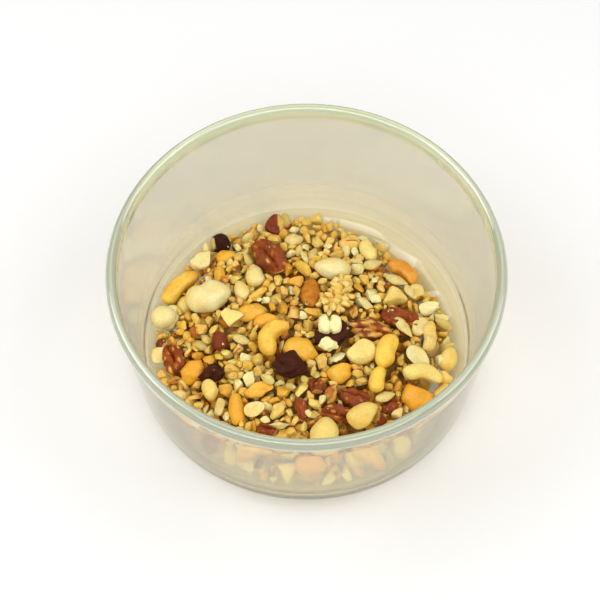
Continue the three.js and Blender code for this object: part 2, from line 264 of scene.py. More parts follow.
# %% Nut materials
def nut_material(name, pale, roasted, skin=None, skin_amount=0.0, patch=3.0, shift=0.0, spread=0.6,
                 grain=0.5, roughness=0.5, coat=0.15, bump=0.25, glow=0.0, shine=0.35):
    """A roasted nut: mottled flesh, optional skin, fine grain and an oily sheen."""
    material = bpy.data.materials.new(name)
    material.use_nodes = True
    tree = material.node_tree
    shader = tree.nodes["Principled BSDF"]
    roast = add(tree, "ShaderNodeGroup", node_tree=roast_group)
    roast.inputs["Pale"].default_value = eye_colour(*pale)
    roast.inputs["Roasted"].default_value = eye_colour(*roasted)
    roast.inputs["Skin"].default_value = eye_colour(*(skin or roasted))
    roast.inputs["Skin amount"].default_value = skin_amount
    roast.inputs["Patch size"].default_value = patch
    roast.inputs["Shift"].default_value = shift
    roast.inputs["Spread"].default_value = spread
    roast.inputs["Grain"].default_value = grain
    bumped = add(tree, "ShaderNodeBump",
                 [("Height", roast.outputs["Height"]), ("Strength", bump), ("Distance", 0.4 * MM)])
    tree.links.new(roast.outputs["Colour"], shader.inputs["Base Color"])
    tree.links.new(bumped.outputs["Normal"], shader.inputs["Normal"])
    shader.inputs["Roughness"].default_value = roughness
    shader.inputs["Coat Weight"].default_value = coat
    shader.inputs["Coat Roughness"].default_value = 0.25
    shader.inputs["Specular IOR Level"].default_value = shine
    shader.inputs["Subsurface Weight"].default_value = glow
    shader.inputs["Subsurface Radius"].default_value = (1.0, 0.6, 0.3)
    shader.inputs["Subsurface Scale"].default_value = 1.5 * MM
    return material


cashew_flesh = nut_material("golden cashew", (227, 190, 71), (204, 134, 28), patch=7, spread=0.9, shift=-0.1,
                            roughness=0.45, coat=0.15, bump=0.3)
cream_flesh = nut_material("cream cashew", (221, 202, 120), (214, 170, 74), patch=7, spread=0.7, shift=-0.2,
                           roughness=0.5, coat=0.1, bump=0.2)
blanched_flesh = nut_material("blanched nut", (217, 207, 150), (214, 182, 92), (214, 178, 83), 0.5, patch=8,
                              spread=0.7, shift=-0.2, roughness=0.4, coat=0.25, bump=0.15)
golden_flesh = nut_material("golden half", (229, 192, 71), (208, 138, 27), (220, 156, 32), 0.6, patch=5,
                            spread=0.7, roughness=0.45, coat=0.15, bump=0.3)
almond_skin = nut_material("almond", (225, 200, 116), (210, 154, 61), (172, 104, 19), 1.0, patch=3,
                           roughness=0.6, coat=0.03, bump=0.3, shine=0.2)
red_skin = nut_material("red-skinned nut", (225, 200, 116), (210, 154, 61), (112, 46, 15), 1.0, patch=3,
                        roughness=0.6, coat=0.03, bump=0.3, shine=0.2)
dark_skin = nut_material("dark-skinned nut", (211, 198, 136), (186, 156, 88), (48, 20, 10), 1.0, patch=3,
                         roughness=0.7, coat=0.0, bump=0.3, shine=0.12)
pecan_skin = nut_material("pecan", (217, 178, 93), (190, 124, 46), (128, 58, 16), 1.0, patch=4,
                          roughness=0.6, coat=0.03, bump=0.5, shine=0.2)
walnut_skin = nut_material("walnut", (190, 140, 74), (120, 62, 28), (62, 26, 11), 1.0, patch=3.5,
                           roughness=0.7, coat=0.0, bump=0.5, shine=0.12)
white_walnut = nut_material("pale walnut", (223, 217, 159), (212, 182, 96), patch=3, shift=-0.3,
                            roughness=0.5, bump=0.4)
kernel_skin = nut_material("sunflower kernel", (213, 198, 127), (192, 166, 90), patch=4, spread=0.8,
                           roughness=0.5, coat=0.1, bump=0.3)
print("nut materials ready")

# %% [markdown]
# ## The glass
# The bowl is thick pressed glass with a faint grey-green tint, a little hazy from the press. Its
# inside is polished, but above the nuts a thin film of their dust dulls it. The rim was melted
# smooth, which left fine streaks that run round it. The streaks follow the radius and the height of
# a place and hardly change along the rim, so they are noise in those directions. Light from the
# lamps passes straight through the glass. On its way to the nuts it stays bright, and on its way to
# the table it is tinted, which gives the soft warm shadow. The two ways are told apart by which side
# of a surface, front or back, faces the place that is lit.


# %% Streaks round the glass
def make_streak_group():
    """Fine lines round the bowl's axis, as a value about 0.5."""
    group = bpy.data.node_groups.new("streaks round the glass", "ShaderNodeTree")
    group.interface.new_socket("Lines per mm", in_out="INPUT", socket_type="NodeSocketFloat")
    group.interface.new_socket("Streaks", in_out="OUTPUT", socket_type="NodeSocketFloat")
    lines = add(group, "NodeGroupInput").outputs["Lines per mm"]
    place = add(group, "ShaderNodeTexCoord").outputs["Object"]
    parts = add(group, "ShaderNodeSeparateXYZ", [("Vector", place)]).outputs
    flat = add(group, "ShaderNodeCombineXYZ", [("X", parts["X"]), ("Y", parts["Y"])]).outputs[0]
    radius = add(group, "ShaderNodeVectorMath", [(0, flat)], operation="LENGTH").outputs["Value"]
    heading = add(group, "ShaderNodeVectorMath", [(0, flat)], operation="NORMALIZE").outputs[0]
    per_metre = maths(group, "MULTIPLY", lines, 1 / MM)
    out = maths(group, "MULTIPLY", radius, per_metre)
    up = maths(group, "MULTIPLY", parts["Z"], per_metre)
    slow = add(group, "ShaderNodeSeparateXYZ", [("Vector", heading)]).outputs
    where = add(group, "ShaderNodeCombineXYZ", [("X", slow["X"]), ("Y", slow["Y"]), ("Z", out)]).outputs[0]
    noise = add(group, "ShaderNodeTexNoise", [("Vector", where), ("W", up), ("Scale", 1.0), ("Detail", 2.0)],
                noise_dimensions="4D")
    add(group, "NodeGroupOutput", [("Streaks", noise.outputs["Fac"])])
    return group


streak_group = make_streak_group()


# %% Glass material
CLEAR_TINT = (238, 230, 208)
SHADOW_TINT = (176, 164, 138)
FOOT_SHADOW_TINT = (150, 124, 80)
DUST_FROM = 12
DUST_FULL_FROM = 34
DUST_LOW_DOWN = (226, 213, 172)
DUST_HIGH_UP = (196, 196, 192)
DUST_HIDDEN_BEHIND = 0.85


def dusted(tree, glass, dust, behind):
    """Glass with a film of nut dust: thinner and yellower low down, and hardly seen from behind."""
    place = add(tree, "ShaderNodeTexCoord").outputs["Object"]
    height = add(tree, "ShaderNodeSeparateXYZ", [("Vector", place)]).outputs["Z"]
    higher = map_range(tree, height, DUST_FROM * MM, DUST_FULL_FROM * MM, 0, 1)
    share = map_range(tree, height, DUST_FROM * MM, DUST_FULL_FROM * MM, 0.4 * dust, dust)
    shown = maths(tree, "MULTIPLY_ADD", behind, -DUST_HIDDEN_BEHIND, 1.0)
    colour = blend(tree, higher, eye_colour(*DUST_LOW_DOWN), eye_colour(*DUST_HIGH_UP))
    film = add(tree, "ShaderNodeBsdfDiffuse", [("Color", colour)]).outputs[0]
    thickness = maths(tree, "MULTIPLY", share, shown)
    return add(tree, "ShaderNodeMixShader", [(0, thickness), (1, glass), (2, film)]).outputs[0]


def glass_material(name, dark, light, clearness, lines, bump, roughness=0.0, dust=0.0, shine=0.5, coat=0.0,
                   front_tint=SHADOW_TINT, back_tint=CLEAR_TINT):
    """Pressed glass: its tint goes from dark to light along streaks, which also ripple the surface.

    Dust is the share of the surface under the film. Lamp light has the front tint if the surface's
    front faces the place that is lit, and else the back tint."""
    material = bpy.data.materials.new(name)
    material.use_nodes = True
    tree = material.node_tree
    shader = tree.nodes["Principled BSDF"]
    streaks = add(tree, "ShaderNodeGroup", node_tree=streak_group)
    streaks.inputs["Lines per mm"].default_value = lines
    tint = add(tree, "ShaderNodeValToRGB", [("Fac", streaks.outputs["Streaks"])])
    tint.color_ramp.elements[0].position = 0.35
    tint.color_ramp.elements[0].color = eye_colour(*dark)
    tint.color_ramp.elements[1].position = 0.65
    tint.color_ramp.elements[1].color = eye_colour(*light)
    ripple = add(tree, "ShaderNodeBump",
                 [("Height", streaks.outputs["Streaks"]), ("Strength", bump), ("Distance", 0.4 * MM)])
    tree.links.new(tint.outputs["Color"], shader.inputs["Base Color"])
    tree.links.new(ripple.outputs["Normal"], shader.inputs["Normal"])
    shader.inputs["Roughness"].default_value = roughness
    shader.inputs["IOR"].default_value = 1.5
    shader.inputs["Transmission Weight"].default_value = clearness
    shader.inputs["Specular IOR Level"].default_value = shine
    shader.inputs["Coat Weight"].default_value = coat
    behind = add(tree, "ShaderNodeNewGeometry").outputs["Backfacing"]
    passed = blend(tree, behind, eye_colour(*front_tint), eye_colour(*back_tint))
    lets_light_pass = add(tree, "ShaderNodeBsdfTransparent", [("Color", passed)]).outputs[0]
    seen = shader.outputs[0]
    if dust:
        seen = dusted(tree, seen, dust, behind)
    rays = add(tree, "ShaderNodeLightPath")
    mixed = add(tree, "ShaderNodeMixShader",
                [(0, rays.outputs["Is Shadow Ray"]), (1, seen), (2, lets_light_pass)])
    tree.links.new(mixed.outputs[0], tree.nodes["Material Output"].inputs["Surface"])
    return material


outer_glass = glass_material("outer glass", (236, 230, 190), (242, 237, 204), 0.91, 0.5, 0.05)
inner_glass = glass_material("inner glass", (240, 237, 225), (242, 239, 228), 0.98, 0.3, 0.01, dust=0.4,
                             shine=0.3, front_tint=CLEAR_TINT, back_tint=SHADOW_TINT)
rim_glass = glass_material("rim glass", (190, 200, 168), (208, 216, 190), 0.58, 0.5, 0.06, roughness=0.06,
                           shine=1.0, coat=1.0)
# The foot is hazier and more yellow than the wall: painted refraction, a colour that stands in for the nuts
# seen through the foot.
foot_glass_painted_refraction = glass_material("foot glass", (224, 214, 168), (232, 224, 184), 0.76, 0.5, 0.05,
                            front_tint=FOOT_SHADOW_TINT)
print("glass ready:", outer_glass.name, inner_glass.name, rim_glass.name, foot_glass_painted_refraction.name)

# %% [markdown]
# ## The bowl
# A pressed bowl is a turned shape: one outline, swept round the axis. The outline is a flat foot, a
# round corner, a wall that leans out a little, a rounded bead for a rim, and the inner wall down
# to a round inner corner and the floor. Geometry Nodes turn the outline with Curve to Mesh round a
# tiny circle. The tree has the number of sides as an input, so a smoother bowl is one number away.

# %% The bowl's sizes
RIM_RADIUS = 84
FOOT_RADIUS = 64
FOOT_CORNER = 14
WALL_TOP_RADIUS = 83.2
WALL = 4
BEAD_HALF_WIDTH = 2.4
BEAD_HALF_HEIGHT = 3.4
BEAD_FROM = math.radians(-30)
WALL_TOP_Z = 73.9
FLOOR = 5
FLOOR_CORNER = 16
BOWL_SIDES = 224

BEAD_Z = BOWL_HEIGHT - BEAD_HALF_HEIGHT
BEAD_R = RIM_RADIUS - BEAD_HALF_WIDTH
INNER_TOP_RADIUS = WALL_TOP_RADIUS - WALL
FLOOR_RADIUS = FOOT_RADIUS + FOOT_CORNER - WALL - FLOOR_CORNER


def arc(centre_r, centre_z, half_width, half_height, start, end, steps):
    """Points (radius, height) on an arc, angles in radians."""
    return [(centre_r + half_width * math.cos(a), centre_z + half_height * math.sin(a))
            for a in np.linspace(start, end, steps + 1)]


def leaning_angle(centre_r, centre_z, radius, top_r, top_z):
    """The angle on a corner's circle at which a straight wall up to (top_r, top_z) leaves it."""
    reach = math.hypot(top_r - centre_r, top_z - centre_z)
    return math.atan2(top_z - centre_z, top_r - centre_r) - math.acos(radius / reach)


OUTER_ANGLE = leaning_angle(FOOT_RADIUS, FOOT_CORNER, FOOT_CORNER, WALL_TOP_RADIUS, WALL_TOP_Z)
INNER_ANGLE = leaning_angle(FLOOR_RADIUS, FLOOR + FLOOR_CORNER, FLOOR_CORNER, INNER_TOP_RADIUS, WALL_TOP_Z)


def inner_radius(z):
    """Inner radius of the glass at a height above the floor."""
    bend = FLOOR + FLOOR_CORNER * (1 + math.sin(INNER_ANGLE))
    if z <= bend:
        drop = FLOOR + FLOOR_CORNER - z
        return FLOOR_RADIUS + math.sqrt(max(0.0, FLOOR_CORNER ** 2 - drop ** 2))
    bend_radius = FLOOR_RADIUS + FLOOR_CORNER * math.cos(INNER_ANGLE)
    share = (z - bend) / (WALL_TOP_Z - bend)
    return bend_radius + share * (INNER_TOP_RADIUS - bend_radius)


print("wall leans from radius", round(inner_radius(20), 1), "to", INNER_TOP_RADIUS)


# %% The bowl's outline
def bowl_outline():
    """From the underside's middle, up outside, over the bead and down inside to the floor's middle."""
    wall_steps = 6
    outside = arc(FOOT_RADIUS, FOOT_CORNER, FOOT_CORNER, FOOT_CORNER, -math.pi / 2, OUTER_ANGLE, 18)
    inside = arc(FLOOR_RADIUS, FLOOR + FLOOR_CORNER, FLOOR_CORNER, FLOOR_CORNER,
                 INNER_ANGLE, -math.pi / 2, 18)
    bead = arc(BEAD_R, BEAD_Z, BEAD_HALF_WIDTH, BEAD_HALF_HEIGHT, BEAD_FROM, math.pi, 26)
    up = list(zip(np.linspace(outside[-1][0], WALL_TOP_RADIUS - 0.06, wall_steps),
                  np.linspace(outside[-1][1], WALL_TOP_Z - 1.3, wall_steps)))[1:]
    # The neck under the bead is a soft S, so that it bends the light without a hard line.
    neck = [(WALL_TOP_RADIUS - 0.02, 73.2), (WALL_TOP_RADIUS + 0.06, 73.8), (WALL_TOP_RADIUS + 0.23, 74.4)]
    down = list(zip(np.linspace(INNER_TOP_RADIUS, inside[0][0], wall_steps),
                    np.linspace(WALL_TOP_Z - 0.6, inside[0][1], wall_steps)))[:-1]
    middle = [(FLOOR_RADIUS / 2, FLOOR), (0, FLOOR)]
    return [(0, 0), (FOOT_RADIUS / 2, 0)] + outside + up + neck + bead + down + inside + middle


outline = bowl_outline()
print("outline:", len(outline), "points")


# %% Turn the outline
def make_turning_tree():
    """Sweeps an outline, drawn as edges in the XY plane, once round the Z axis."""
    tree = new_tree("turn an outline", [
        ("Sides", "NodeSocketInt", 96), ("Core radius", "NodeSocketFloat", 0.0001),
        ("Material", "NodeSocketMaterial", None)])
    inputs = add(tree, "NodeGroupInput").outputs
    outline_curve = add(tree, "GeometryNodeMeshToCurve", [("Mesh", inputs["Geometry"])])
    circle = add(tree, "GeometryNodeCurvePrimitiveCircle",
                 [("Resolution", inputs["Sides"]), ("Radius", inputs["Core radius"])])
    swept = add(tree, "GeometryNodeCurveToMesh",
                [("Curve", circle.outputs["Curve"]), ("Profile Curve", outline_curve.outputs["Curve"])])
    closed = add(tree, "GeometryNodeMergeByDistance",
                 [("Geometry", swept.outputs["Mesh"]), ("Distance", 0.02 * MM)])
    smooth = add(tree, "GeometryNodeSetShadeSmooth", [("Geometry", closed.outputs["Geometry"])])
    real = add(tree, "GeometryNodeRealizeInstances", [("Geometry", smooth.outputs["Geometry"])])
    dressed = add(tree, "GeometryNodeSetMaterial",
                  [("Geometry", real.outputs["Geometry"]), ("Material", inputs["Material"])])
    add(tree, "NodeGroupOutput", [("Geometry", dressed.outputs["Geometry"])])
    return tree


CORE_RADIUS = 0.1
RIM_FROM = 74.3
FOOT_UP_TO = 7.0
INNER, RIM, FOOT = 1, 2, 3


def make_bowl():
    """The turned bowl. The outline's X is measured from the core circle, outwards.

    Its rim, foot and inner side have glass of their own, and the rest is the outer glass."""
    mesh = bpy.data.meshes.new("bowl outline")
    places = [((r - CORE_RADIUS) * MM, -z * MM, 0) for r, z in outline]
    edges = [(i, i + 1) for i in range(len(places) - 1)]
    mesh.from_pydata(places, edges, [])
    bowl = bpy.data.objects.new("pressed_glass_bowl", mesh)
    bpy.context.scene.collection.objects.link(bowl)
    run_tree(bowl, make_turning_tree(),
             {"Sides": BOWL_SIDES, "Core radius": CORE_RADIUS * MM, "Material": outer_glass})
    point_outwards(bowl.data)
    for glass in (inner_glass, rim_glass, foot_glass_painted_refraction):
        bowl.data.materials.append(glass)
    for face in bowl.data.polygons:
        outwards = face.normal.x * face.center.x + face.normal.y * face.center.y
        if face.center.z > RIM_FROM * MM:
            face.material_index = RIM
        elif outwards < 0 or face.normal.z > 0.5:
            face.material_index = INNER
        elif face.center.z < FOOT_UP_TO * MM:
            face.material_index = FOOT
    return bowl


bowl = make_bowl()
corners = np.array([v.co for v in bowl.data.vertices])
print("bowl spans", corners.min(0).round(4), corners.max(0).round(4))
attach(bowl, "root")
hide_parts("glass_bowl")

# %% [markdown]
# ## The heap's form
# The nuts lie a little to the left in the bowl, domed in the middle. On the far right they keep off
# the wall. Two small functions hold that form: how far the heap reaches at an angle, and how high
# its surface is at a place. Everything that follows asks them.

# %% Heap form
GLASS_GAP = 0.4
HEAP_CENTRE = (-3, -1)
HEAP_RADIUS = 67
HEAP_EDGE = 12
HEAP_CROWN = 22.5
HOLLOW_ANGLE = math.radians(48)
HOLLOW_WIDTH = math.radians(34)
HOLLOW_DEPTH = 4.5
FALL_PAST_EDGE = 90


def heap_reach(angle):
    """How far the heap reaches from its own centre, at an angle in plan."""
    off = np.arctan2(np.sin(angle - HOLLOW_ANGLE), np.cos(angle - HOLLOW_ANGLE))
    uneven = 0.9 * np.sin(5 * angle + 1) + 0.7 * np.sin(9 * angle)
    return HEAP_RADIUS + uneven - HOLLOW_DEPTH * np.exp(-((off / HOLLOW_WIDTH) ** 2))


def heap_share(x, y):
    """How far out a place is: 0 at the heap's centre, 1 at its outline."""
    dx = np.asarray(x, float) - HEAP_CENTRE[0]
    dy = np.asarray(y, float) - HEAP_CENTRE[1]
    return np.hypot(dx, dy) / heap_reach(np.arctan2(dy, dx))


def heap_top(x, y):
    """Height of the heap's surface. Past the outline it slopes down to the glass."""
    share = heap_share(x, y)
    dome = HEAP_EDGE + (HEAP_CROWN - HEAP_EDGE) * (1 - np.minimum(share, 1) ** 2)
    return dome - FALL_PAST_EDGE * np.maximum(share - 1, 0)


def glass_floor(radius):
    """Height of the glass under the nuts at a distance from the bowl's axis."""
    out = np.maximum(0, radius - FLOOR_RADIUS)
    corner = FLOOR_CORNER - GLASS_GAP
    rise = corner - np.sqrt(np.maximum(0, corner ** 2 - out ** 2))
    return FLOOR + GLASS_GAP + rise


print("heap surface: middle", heap_top(-3, -1), "left edge", heap_top(-69, 0))

# %% [markdown]
# ## Nut shapes
# Every nut starts as a ball whose poles lie along X, and is then pressed, bent, grooved or cut. A
# cut pushes all that is past a plane back onto it, which leaves the flat face of a broken nut, and
# marks it as bare flesh. The mark is kept as an attribute called skin, and the materials read it.
# Grooves get painted shade, a darker colour in them, kept in the same way as an attribute of its own.


# %% The ball that every nut starts from
class Nut:
    """One nut: places in millimetres round its own middle, each with its skin and painted shade, and faces.
    """

    def __init__(self, round_steps, ring_steps):
        rows = [(-1.0, 0.0, 0.0)]
        for ring in range(1, ring_steps):
            polar = math.pi * ring / ring_steps
            for k in range(round_steps):
                turn = 2 * math.pi * k / round_steps
                rows.append((-math.cos(polar), math.sin(polar) * math.cos(turn),
                             math.sin(polar) * math.sin(turn)))
        rows.append((1.0, 0.0, 0.0))
        self.at = np.array(rows)
        self.skin = np.ones(len(rows))
        self.deep = np.zeros(len(rows))
        self.faces = []
        last = len(rows) - 1
        for k in range(round_steps):
            after = (k + 1) % round_steps
            self.faces.append((0, 1 + after, 1 + k))
            for ring in range(ring_steps - 2):
                low = 1 + ring * round_steps
                high = low + round_steps
                self.faces.append((low + k, low + after, high + after, high + k))
            top = 1 + (ring_steps - 2) * round_steps
            self.faces.append((top + k, top + after, last))

    def scaled(self, length, width, height):
        self.at = self.at * (np.array([length, width, height]) / 2)
        return self

    def roughened(self, rng, size, strength):
        """Slow bumps: places move away from the middle or towards it."""
        waves = np.zeros(len(self.at))
        for _ in range(6):
            direction = rng.normal(size=3)
            direction *= 2 * math.pi / (size * np.linalg.norm(direction))
            waves += np.sin(self.at @ direction + rng.uniform(0, 2 * math.pi))
        lengths = np.linalg.norm(self.at, axis=1, keepdims=True) + 1e-9
        self.at = self.at + self.at / lengths * (waves[:, None] / 6 * strength)
        return self

    def cut(self, normal, distance, bare=True, soft=0.0):
        """Flattens what lies past a plane onto it, as where a nut breaks. A soft cut has a rounded edge."""
        normal = np.asarray(normal, float)
        normal = normal / np.linalg.norm(normal)
        over = self.at @ normal - distance
        if soft:
            over = np.where(over < soft, np.maximum(over + soft, 0) ** 2 / (4 * soft), over)
        past = over > 0
        self.at[past] -= over[past, None] * normal
        if bare:
            self.skin[over > soft / 2] = 0
        return self

    def turned(self, matrix):
        self.at = self.at @ np.array(matrix.to_3x3()).T
        return self

    def joined(self, other, offset):
        """Adds another nut to this one, moved by an offset."""
        base = len(self.at)
        self.at = np.concatenate([self.at, other.at + np.asarray(offset)])
        self.skin = np.concatenate([self.skin, other.skin])
        self.deep = np.concatenate([self.deep, other.deep])
        self.faces = self.faces + [tuple(i + base for i in face) for face in other.faces]
        return self


print("ball ready:", len(Nut(10, 7).faces), "faces")


# %% Whole and half nuts
def cashew(length, width, rng, turn=2.0):
    """A bent body with full ends, one fatter, and a cleft along the inside of the bend."""
    nut = Nut(20, 26)
    x, y, z = nut.at.T
    full = np.sqrt(1 + x ** 2) * (1 - 0.17 * x + 0.05 * np.sin(3 * x))
    cleft = 0.16 * np.exp(-((z / 0.16) ** 2)) * (y < 0) * np.exp(-((x - 0.25) / 0.7) ** 4)
    radius = (length - width / 2) / (2 * math.sin(turn / 2))
    middle = radius * (1 + math.cos(turn / 2)) / 2
    out = radius + width / 2 * full * (y + cleft)
    along = x * turn / 2
    nut.at = np.stack([out * np.sin(along), out * np.cos(along) - middle, width / 2 * full * z * 0.94], 1)
    return nut.roughened(rng, 7, 0.5)


def egg(length, width, rng, height=0.9, point=0.15, seam=0.0, size=6.0, strength=0.4, skin=0.2):
    """A whole nut: one end slimmer, with a seam where its halves meet if asked."""
    nut = Nut(20, 16)
    nut.skin[:] = skin
    x, y, z = nut.at.T
    slim = 1 - point * x
    pinch = 1 - seam * np.exp(-((z / 0.14) ** 2)) * (np.abs(y) > 0.3)
    nut.at = np.stack([x, y * slim * pinch, z * slim], 1)
    return nut.scaled(length, width, height * width).roughened(rng, size, strength)


def macadamia(length, width, rng):
    """A big round nut with a shallow waist, so that it looks two-lobed."""
    nut = Nut(26, 22)
    x, y, z = nut.at.T
    waist = 1 - 0.13 * np.exp(-(((x - 0.15 + 0.35 * y) / 0.22) ** 2)) * (z > -0.3)
    nut.at = np.stack([x, y * waist * (1 - 0.08 * x), z * waist], 1)
    nut.skin[:] = 0
    return nut.scaled(length, width, 0.8 * width).roughened(rng, 9, 0.9)


def half_nut(length, width, rng, up=0, spot=0.0, chip=0.0):
    """Half a nut, round side up, or with up=1 its flat face up. A spot is a stain in the face's middle."""
    nut = egg(length, width, rng, height=0.8, point=0.12, size=5.0, strength=0.9, skin=1)
    nut.cut((0.08, 0.1, -1), width * 0.1, soft=0.3)
    if chip:
        nut.cut((0.8, 0.6, 0.2), length * chip, soft=0.3)
    if up:
        nut.turned(Matrix.Rotation(math.pi, 4, "X"))
        flat = (nut.skin < 0.5) & (nut.at[:, 2] > 0)
        x, y, _ = nut.at.T
        middle = np.exp(-((y / (0.2 * width)) ** 2) - ((x / (0.25 * length)) ** 4))
        nut.at[flat, 2] -= 0.08 * width * middle[flat]
        nut.skin = np.where(flat, spot * middle, nut.skin)
    return nut


def almond(length, width, rng):
    """A flat drop with fine wrinkles along it."""
    nut = Nut(28, 20)
    x, y, z = nut.at.T
    slim = (1 - 0.5 * np.maximum(x, 0) ** 1.6) * (1 + 0.1 * np.maximum(-x, 0))
    wrinkle = 1 + 0.018 * np.sin(11 * np.arctan2(z, y) + 2 * x)
    nut.at = np.stack([x, y * slim * wrinkle, z * slim * wrinkle], 1)
    return nut.scaled(length, width, 0.68 * width).roughened(rng, 6, 0.35)


def slit_seed(length, width, rng):
    """A pale oval seed with a brown slit along its top, and painted shade in the slit's middle."""
    nut = Nut(28, 20)
    x, y, z = nut.at.T
    slit = np.exp(-((y / 0.12) ** 2)) * np.exp(-((x / 0.6) ** 4)) * (z > 0)
    nut.skin = (slit > 0.4).astype(float)
    # Painted shade in the middle of the slit.
    nut.deep = np.where(slit > 0.8, 0.6, 0.0)
    nut.at = np.stack([x, y * (1 - 0.2 * x), z * (1 - 0.3 * slit)], 1)
    return nut.scaled(length, width, 0.8 * width).roughened(rng, 6, 0.3)


def sunflower_kernel(length, width, rng, steps=(12, 12)):
    """A flat drop with one sharp end and a low ridge along it."""
    nut = Nut(*steps)
    x, y, z = nut.at.T
    slim = 1 - 0.62 * np.maximum(x, 0) ** 1.2
    ridge = 1 + 0.25 * np.exp(-((y / 0.3) ** 2))
    nut.at = np.stack([x, y * slim, z * slim * ridge], 1)
    return nut.scaled(length, width, 0.55 * width).roughened(rng, 0.8 * length, 0.05 * width)


def pecan(length, width, rng, groove=0.0, striped=0.0, ends=0.3):
    """A piece of half kernel: two wrinkled lobes with a groove between them, painted darker as shade, and
    ragged ends.
    """
    nut = Nut(40, 30)
    x, y, z = nut.at.T
    phase = rng.uniform(0, 6)
    bend = groove + 0.12 * np.sin(3 * x + phase)
    valley = np.exp(-(((y - bend) / 0.15) ** 2)) * (z > -0.2)
    lobes = 1 - 0.55 * valley
    # Painted shade in the groove.
    nut.deep = 0.95 * valley ** 2
    ridges = 1 + 0.07 * np.sin(8 * x + 5 * np.abs(y) + phase) + 0.05 * np.sin(14 * x - 11 * y + phase)
    ragged = 1 + 0.09 * np.sin(6 * x + phase) + 0.06 * np.sin(15 * x + 2 * phase)
    nut.at = np.stack([x, y * ragged, z * lobes * ridges], 1)
    worn = np.sin(7 * x + 3 * y + phase) + np.sin(11 * y - 5 * x + 2 * phase)
    nut.skin = np.clip(2.5 * (2.1 - 2.0 * striped - worn), 0, 1)
    nut.scaled(length, width, 0.8 * width).roughened(rng, 5, 0.9)
    nut.cut((0.2 * rng.normal(), 0.2 * rng.normal(), -1), 0.2 * width, soft=0.3)
    nut.cut((1, 0.5 * rng.normal(), 0.3), rng.uniform(ends, ends + 0.06) * length, soft=0.4)
    nut.cut((-1, 0.4 * rng.normal(), 0.1), rng.uniform(ends + 0.05, ends + 0.12) * length, soft=0.4)
    return nut


def walnut(length, width, rng, height=0.8, skinned=1.0):
    """A crumpled piece with folds all over, like a small brain, painted darker in the folds as shade."""
    nut = Nut(36, 28)
    lengths = np.linalg.norm(nut.at, axis=1)
    folds = np.zeros(len(nut.at))
    for _ in range(4):
        direction = rng.normal(size=3)
        direction *= rng.uniform(3.0, 5.5) / np.linalg.norm(direction)
        folds += np.abs(np.sin(nut.at @ direction + rng.uniform(0, 6)))
    nut.at = nut.at / lengths[:, None] * (0.55 + 0.19 * folds[:, None])
    # Painted shade in the folds.
    nut.deep = np.clip(0.9 * (1.7 - folds), 0, 0.8)
    nut.skin[:] = skinned
    nut.scaled(length, width, height * width).roughened(rng, 5, 0.8)
    for _ in range(2):
        normal = rng.normal(size=3)
        nut.cut(normal, 0.36 * width, bare=False, soft=0.5)
    return nut


def pale_h(length, width, rng):
    """A pale walnut piece shaped like an H: a slit from each side, painted darker as shade, and a bridge
    between.
    """
    nut = Nut(40, 30)
    x, y, z = nut.at.T
    slits = 0.8 * np.exp(-(((x + 0.06 * y) / 0.12) ** 2)) * (np.abs(y) > 0.12)
    slits = slits * np.where(y > 0, 1.0, 0.35)
    # Painted shade in the slits.
    nut.deep = 1.1 * slits
    square = (np.abs(x) ** 3 + np.abs(y) ** 3 + np.abs(z) ** 3) ** (-1 / 3)
    nut.at = nut.at * square[:, None]
    nut.at[:, 1] *= 1 - slits
    nut.at[:, 2] *= 1 - 0.5 * slits
    nut.skin[:] = 0
    return nut.scaled(length, width, 0.7 * width).roughened(rng, 3, 0.5)


print("cashew", len(cashew(20, 8, np.random.RandomState(0)).faces), "faces")


# %% Broken nuts
def broken(length, width, height, rng, cuts=4, steps=(8, 6), depth=(0.3, 0.66), rough=0.24):
    """A chopped piece: part of a round nut with a few flat broken faces."""
    nut = Nut(*steps)
    nut.scaled(length, width, height)
    nut.roughened(rng, 0.8 * length, rough * width)
    half = min(width, height) / 2
    soft = 0.1 * length if steps[0] > 10 else 0.0
    for _ in range(cuts):
        normal = rng.normal(size=3)
        normal /= np.linalg.norm(normal)
        reach = np.linalg.norm(normal * np.array([length, width, height]) / 2)
        nut.cut(normal, max(rng.uniform(*depth) * reach, 0.35 * half), soft=soft)
    return nut


def chunk(length, width, rng, cuts=5, lit=0.0, bare=None):
    """A large chopped piece with rounded edges. With lit, the top is a clean pale break.

    With bare, all is skin except a pale break that faces that way."""
    nut = broken(length * 1.1, width * 1.1, width, rng, cuts=cuts, steps=(20, 16), rough=0.1)
    if bare:
        nut.skin[:] = 1
        nut.cut(bare, 0.26 * width, soft=0.3)
    if lit:
        nut.cut((-0.3, 0.2, 1), 0.2 * width, soft=0.3)
    return nut


def wedge(length, width, rng):
    """A three-cornered piece with rounded corners and edges."""
    nut = Nut(24, 18)
    nut.scaled(length * 1.25, width * 1.25, 0.8 * width)
    for turn in (270, 30, 150):
        angle = math.radians(turn + rng.uniform(-15, 15))
        nut.cut((math.cos(angle), math.sin(angle), 0.2), 0.33 * min(length, width), soft=1.3)
    nut.skin = 1 - np.clip(nut.at[:, 2] / (0.2 * width), 0, 1)
    return nut.roughened(rng, 6, 0.9)


GRANULES = 24
GOLDEN_ANGLE = 2.39996


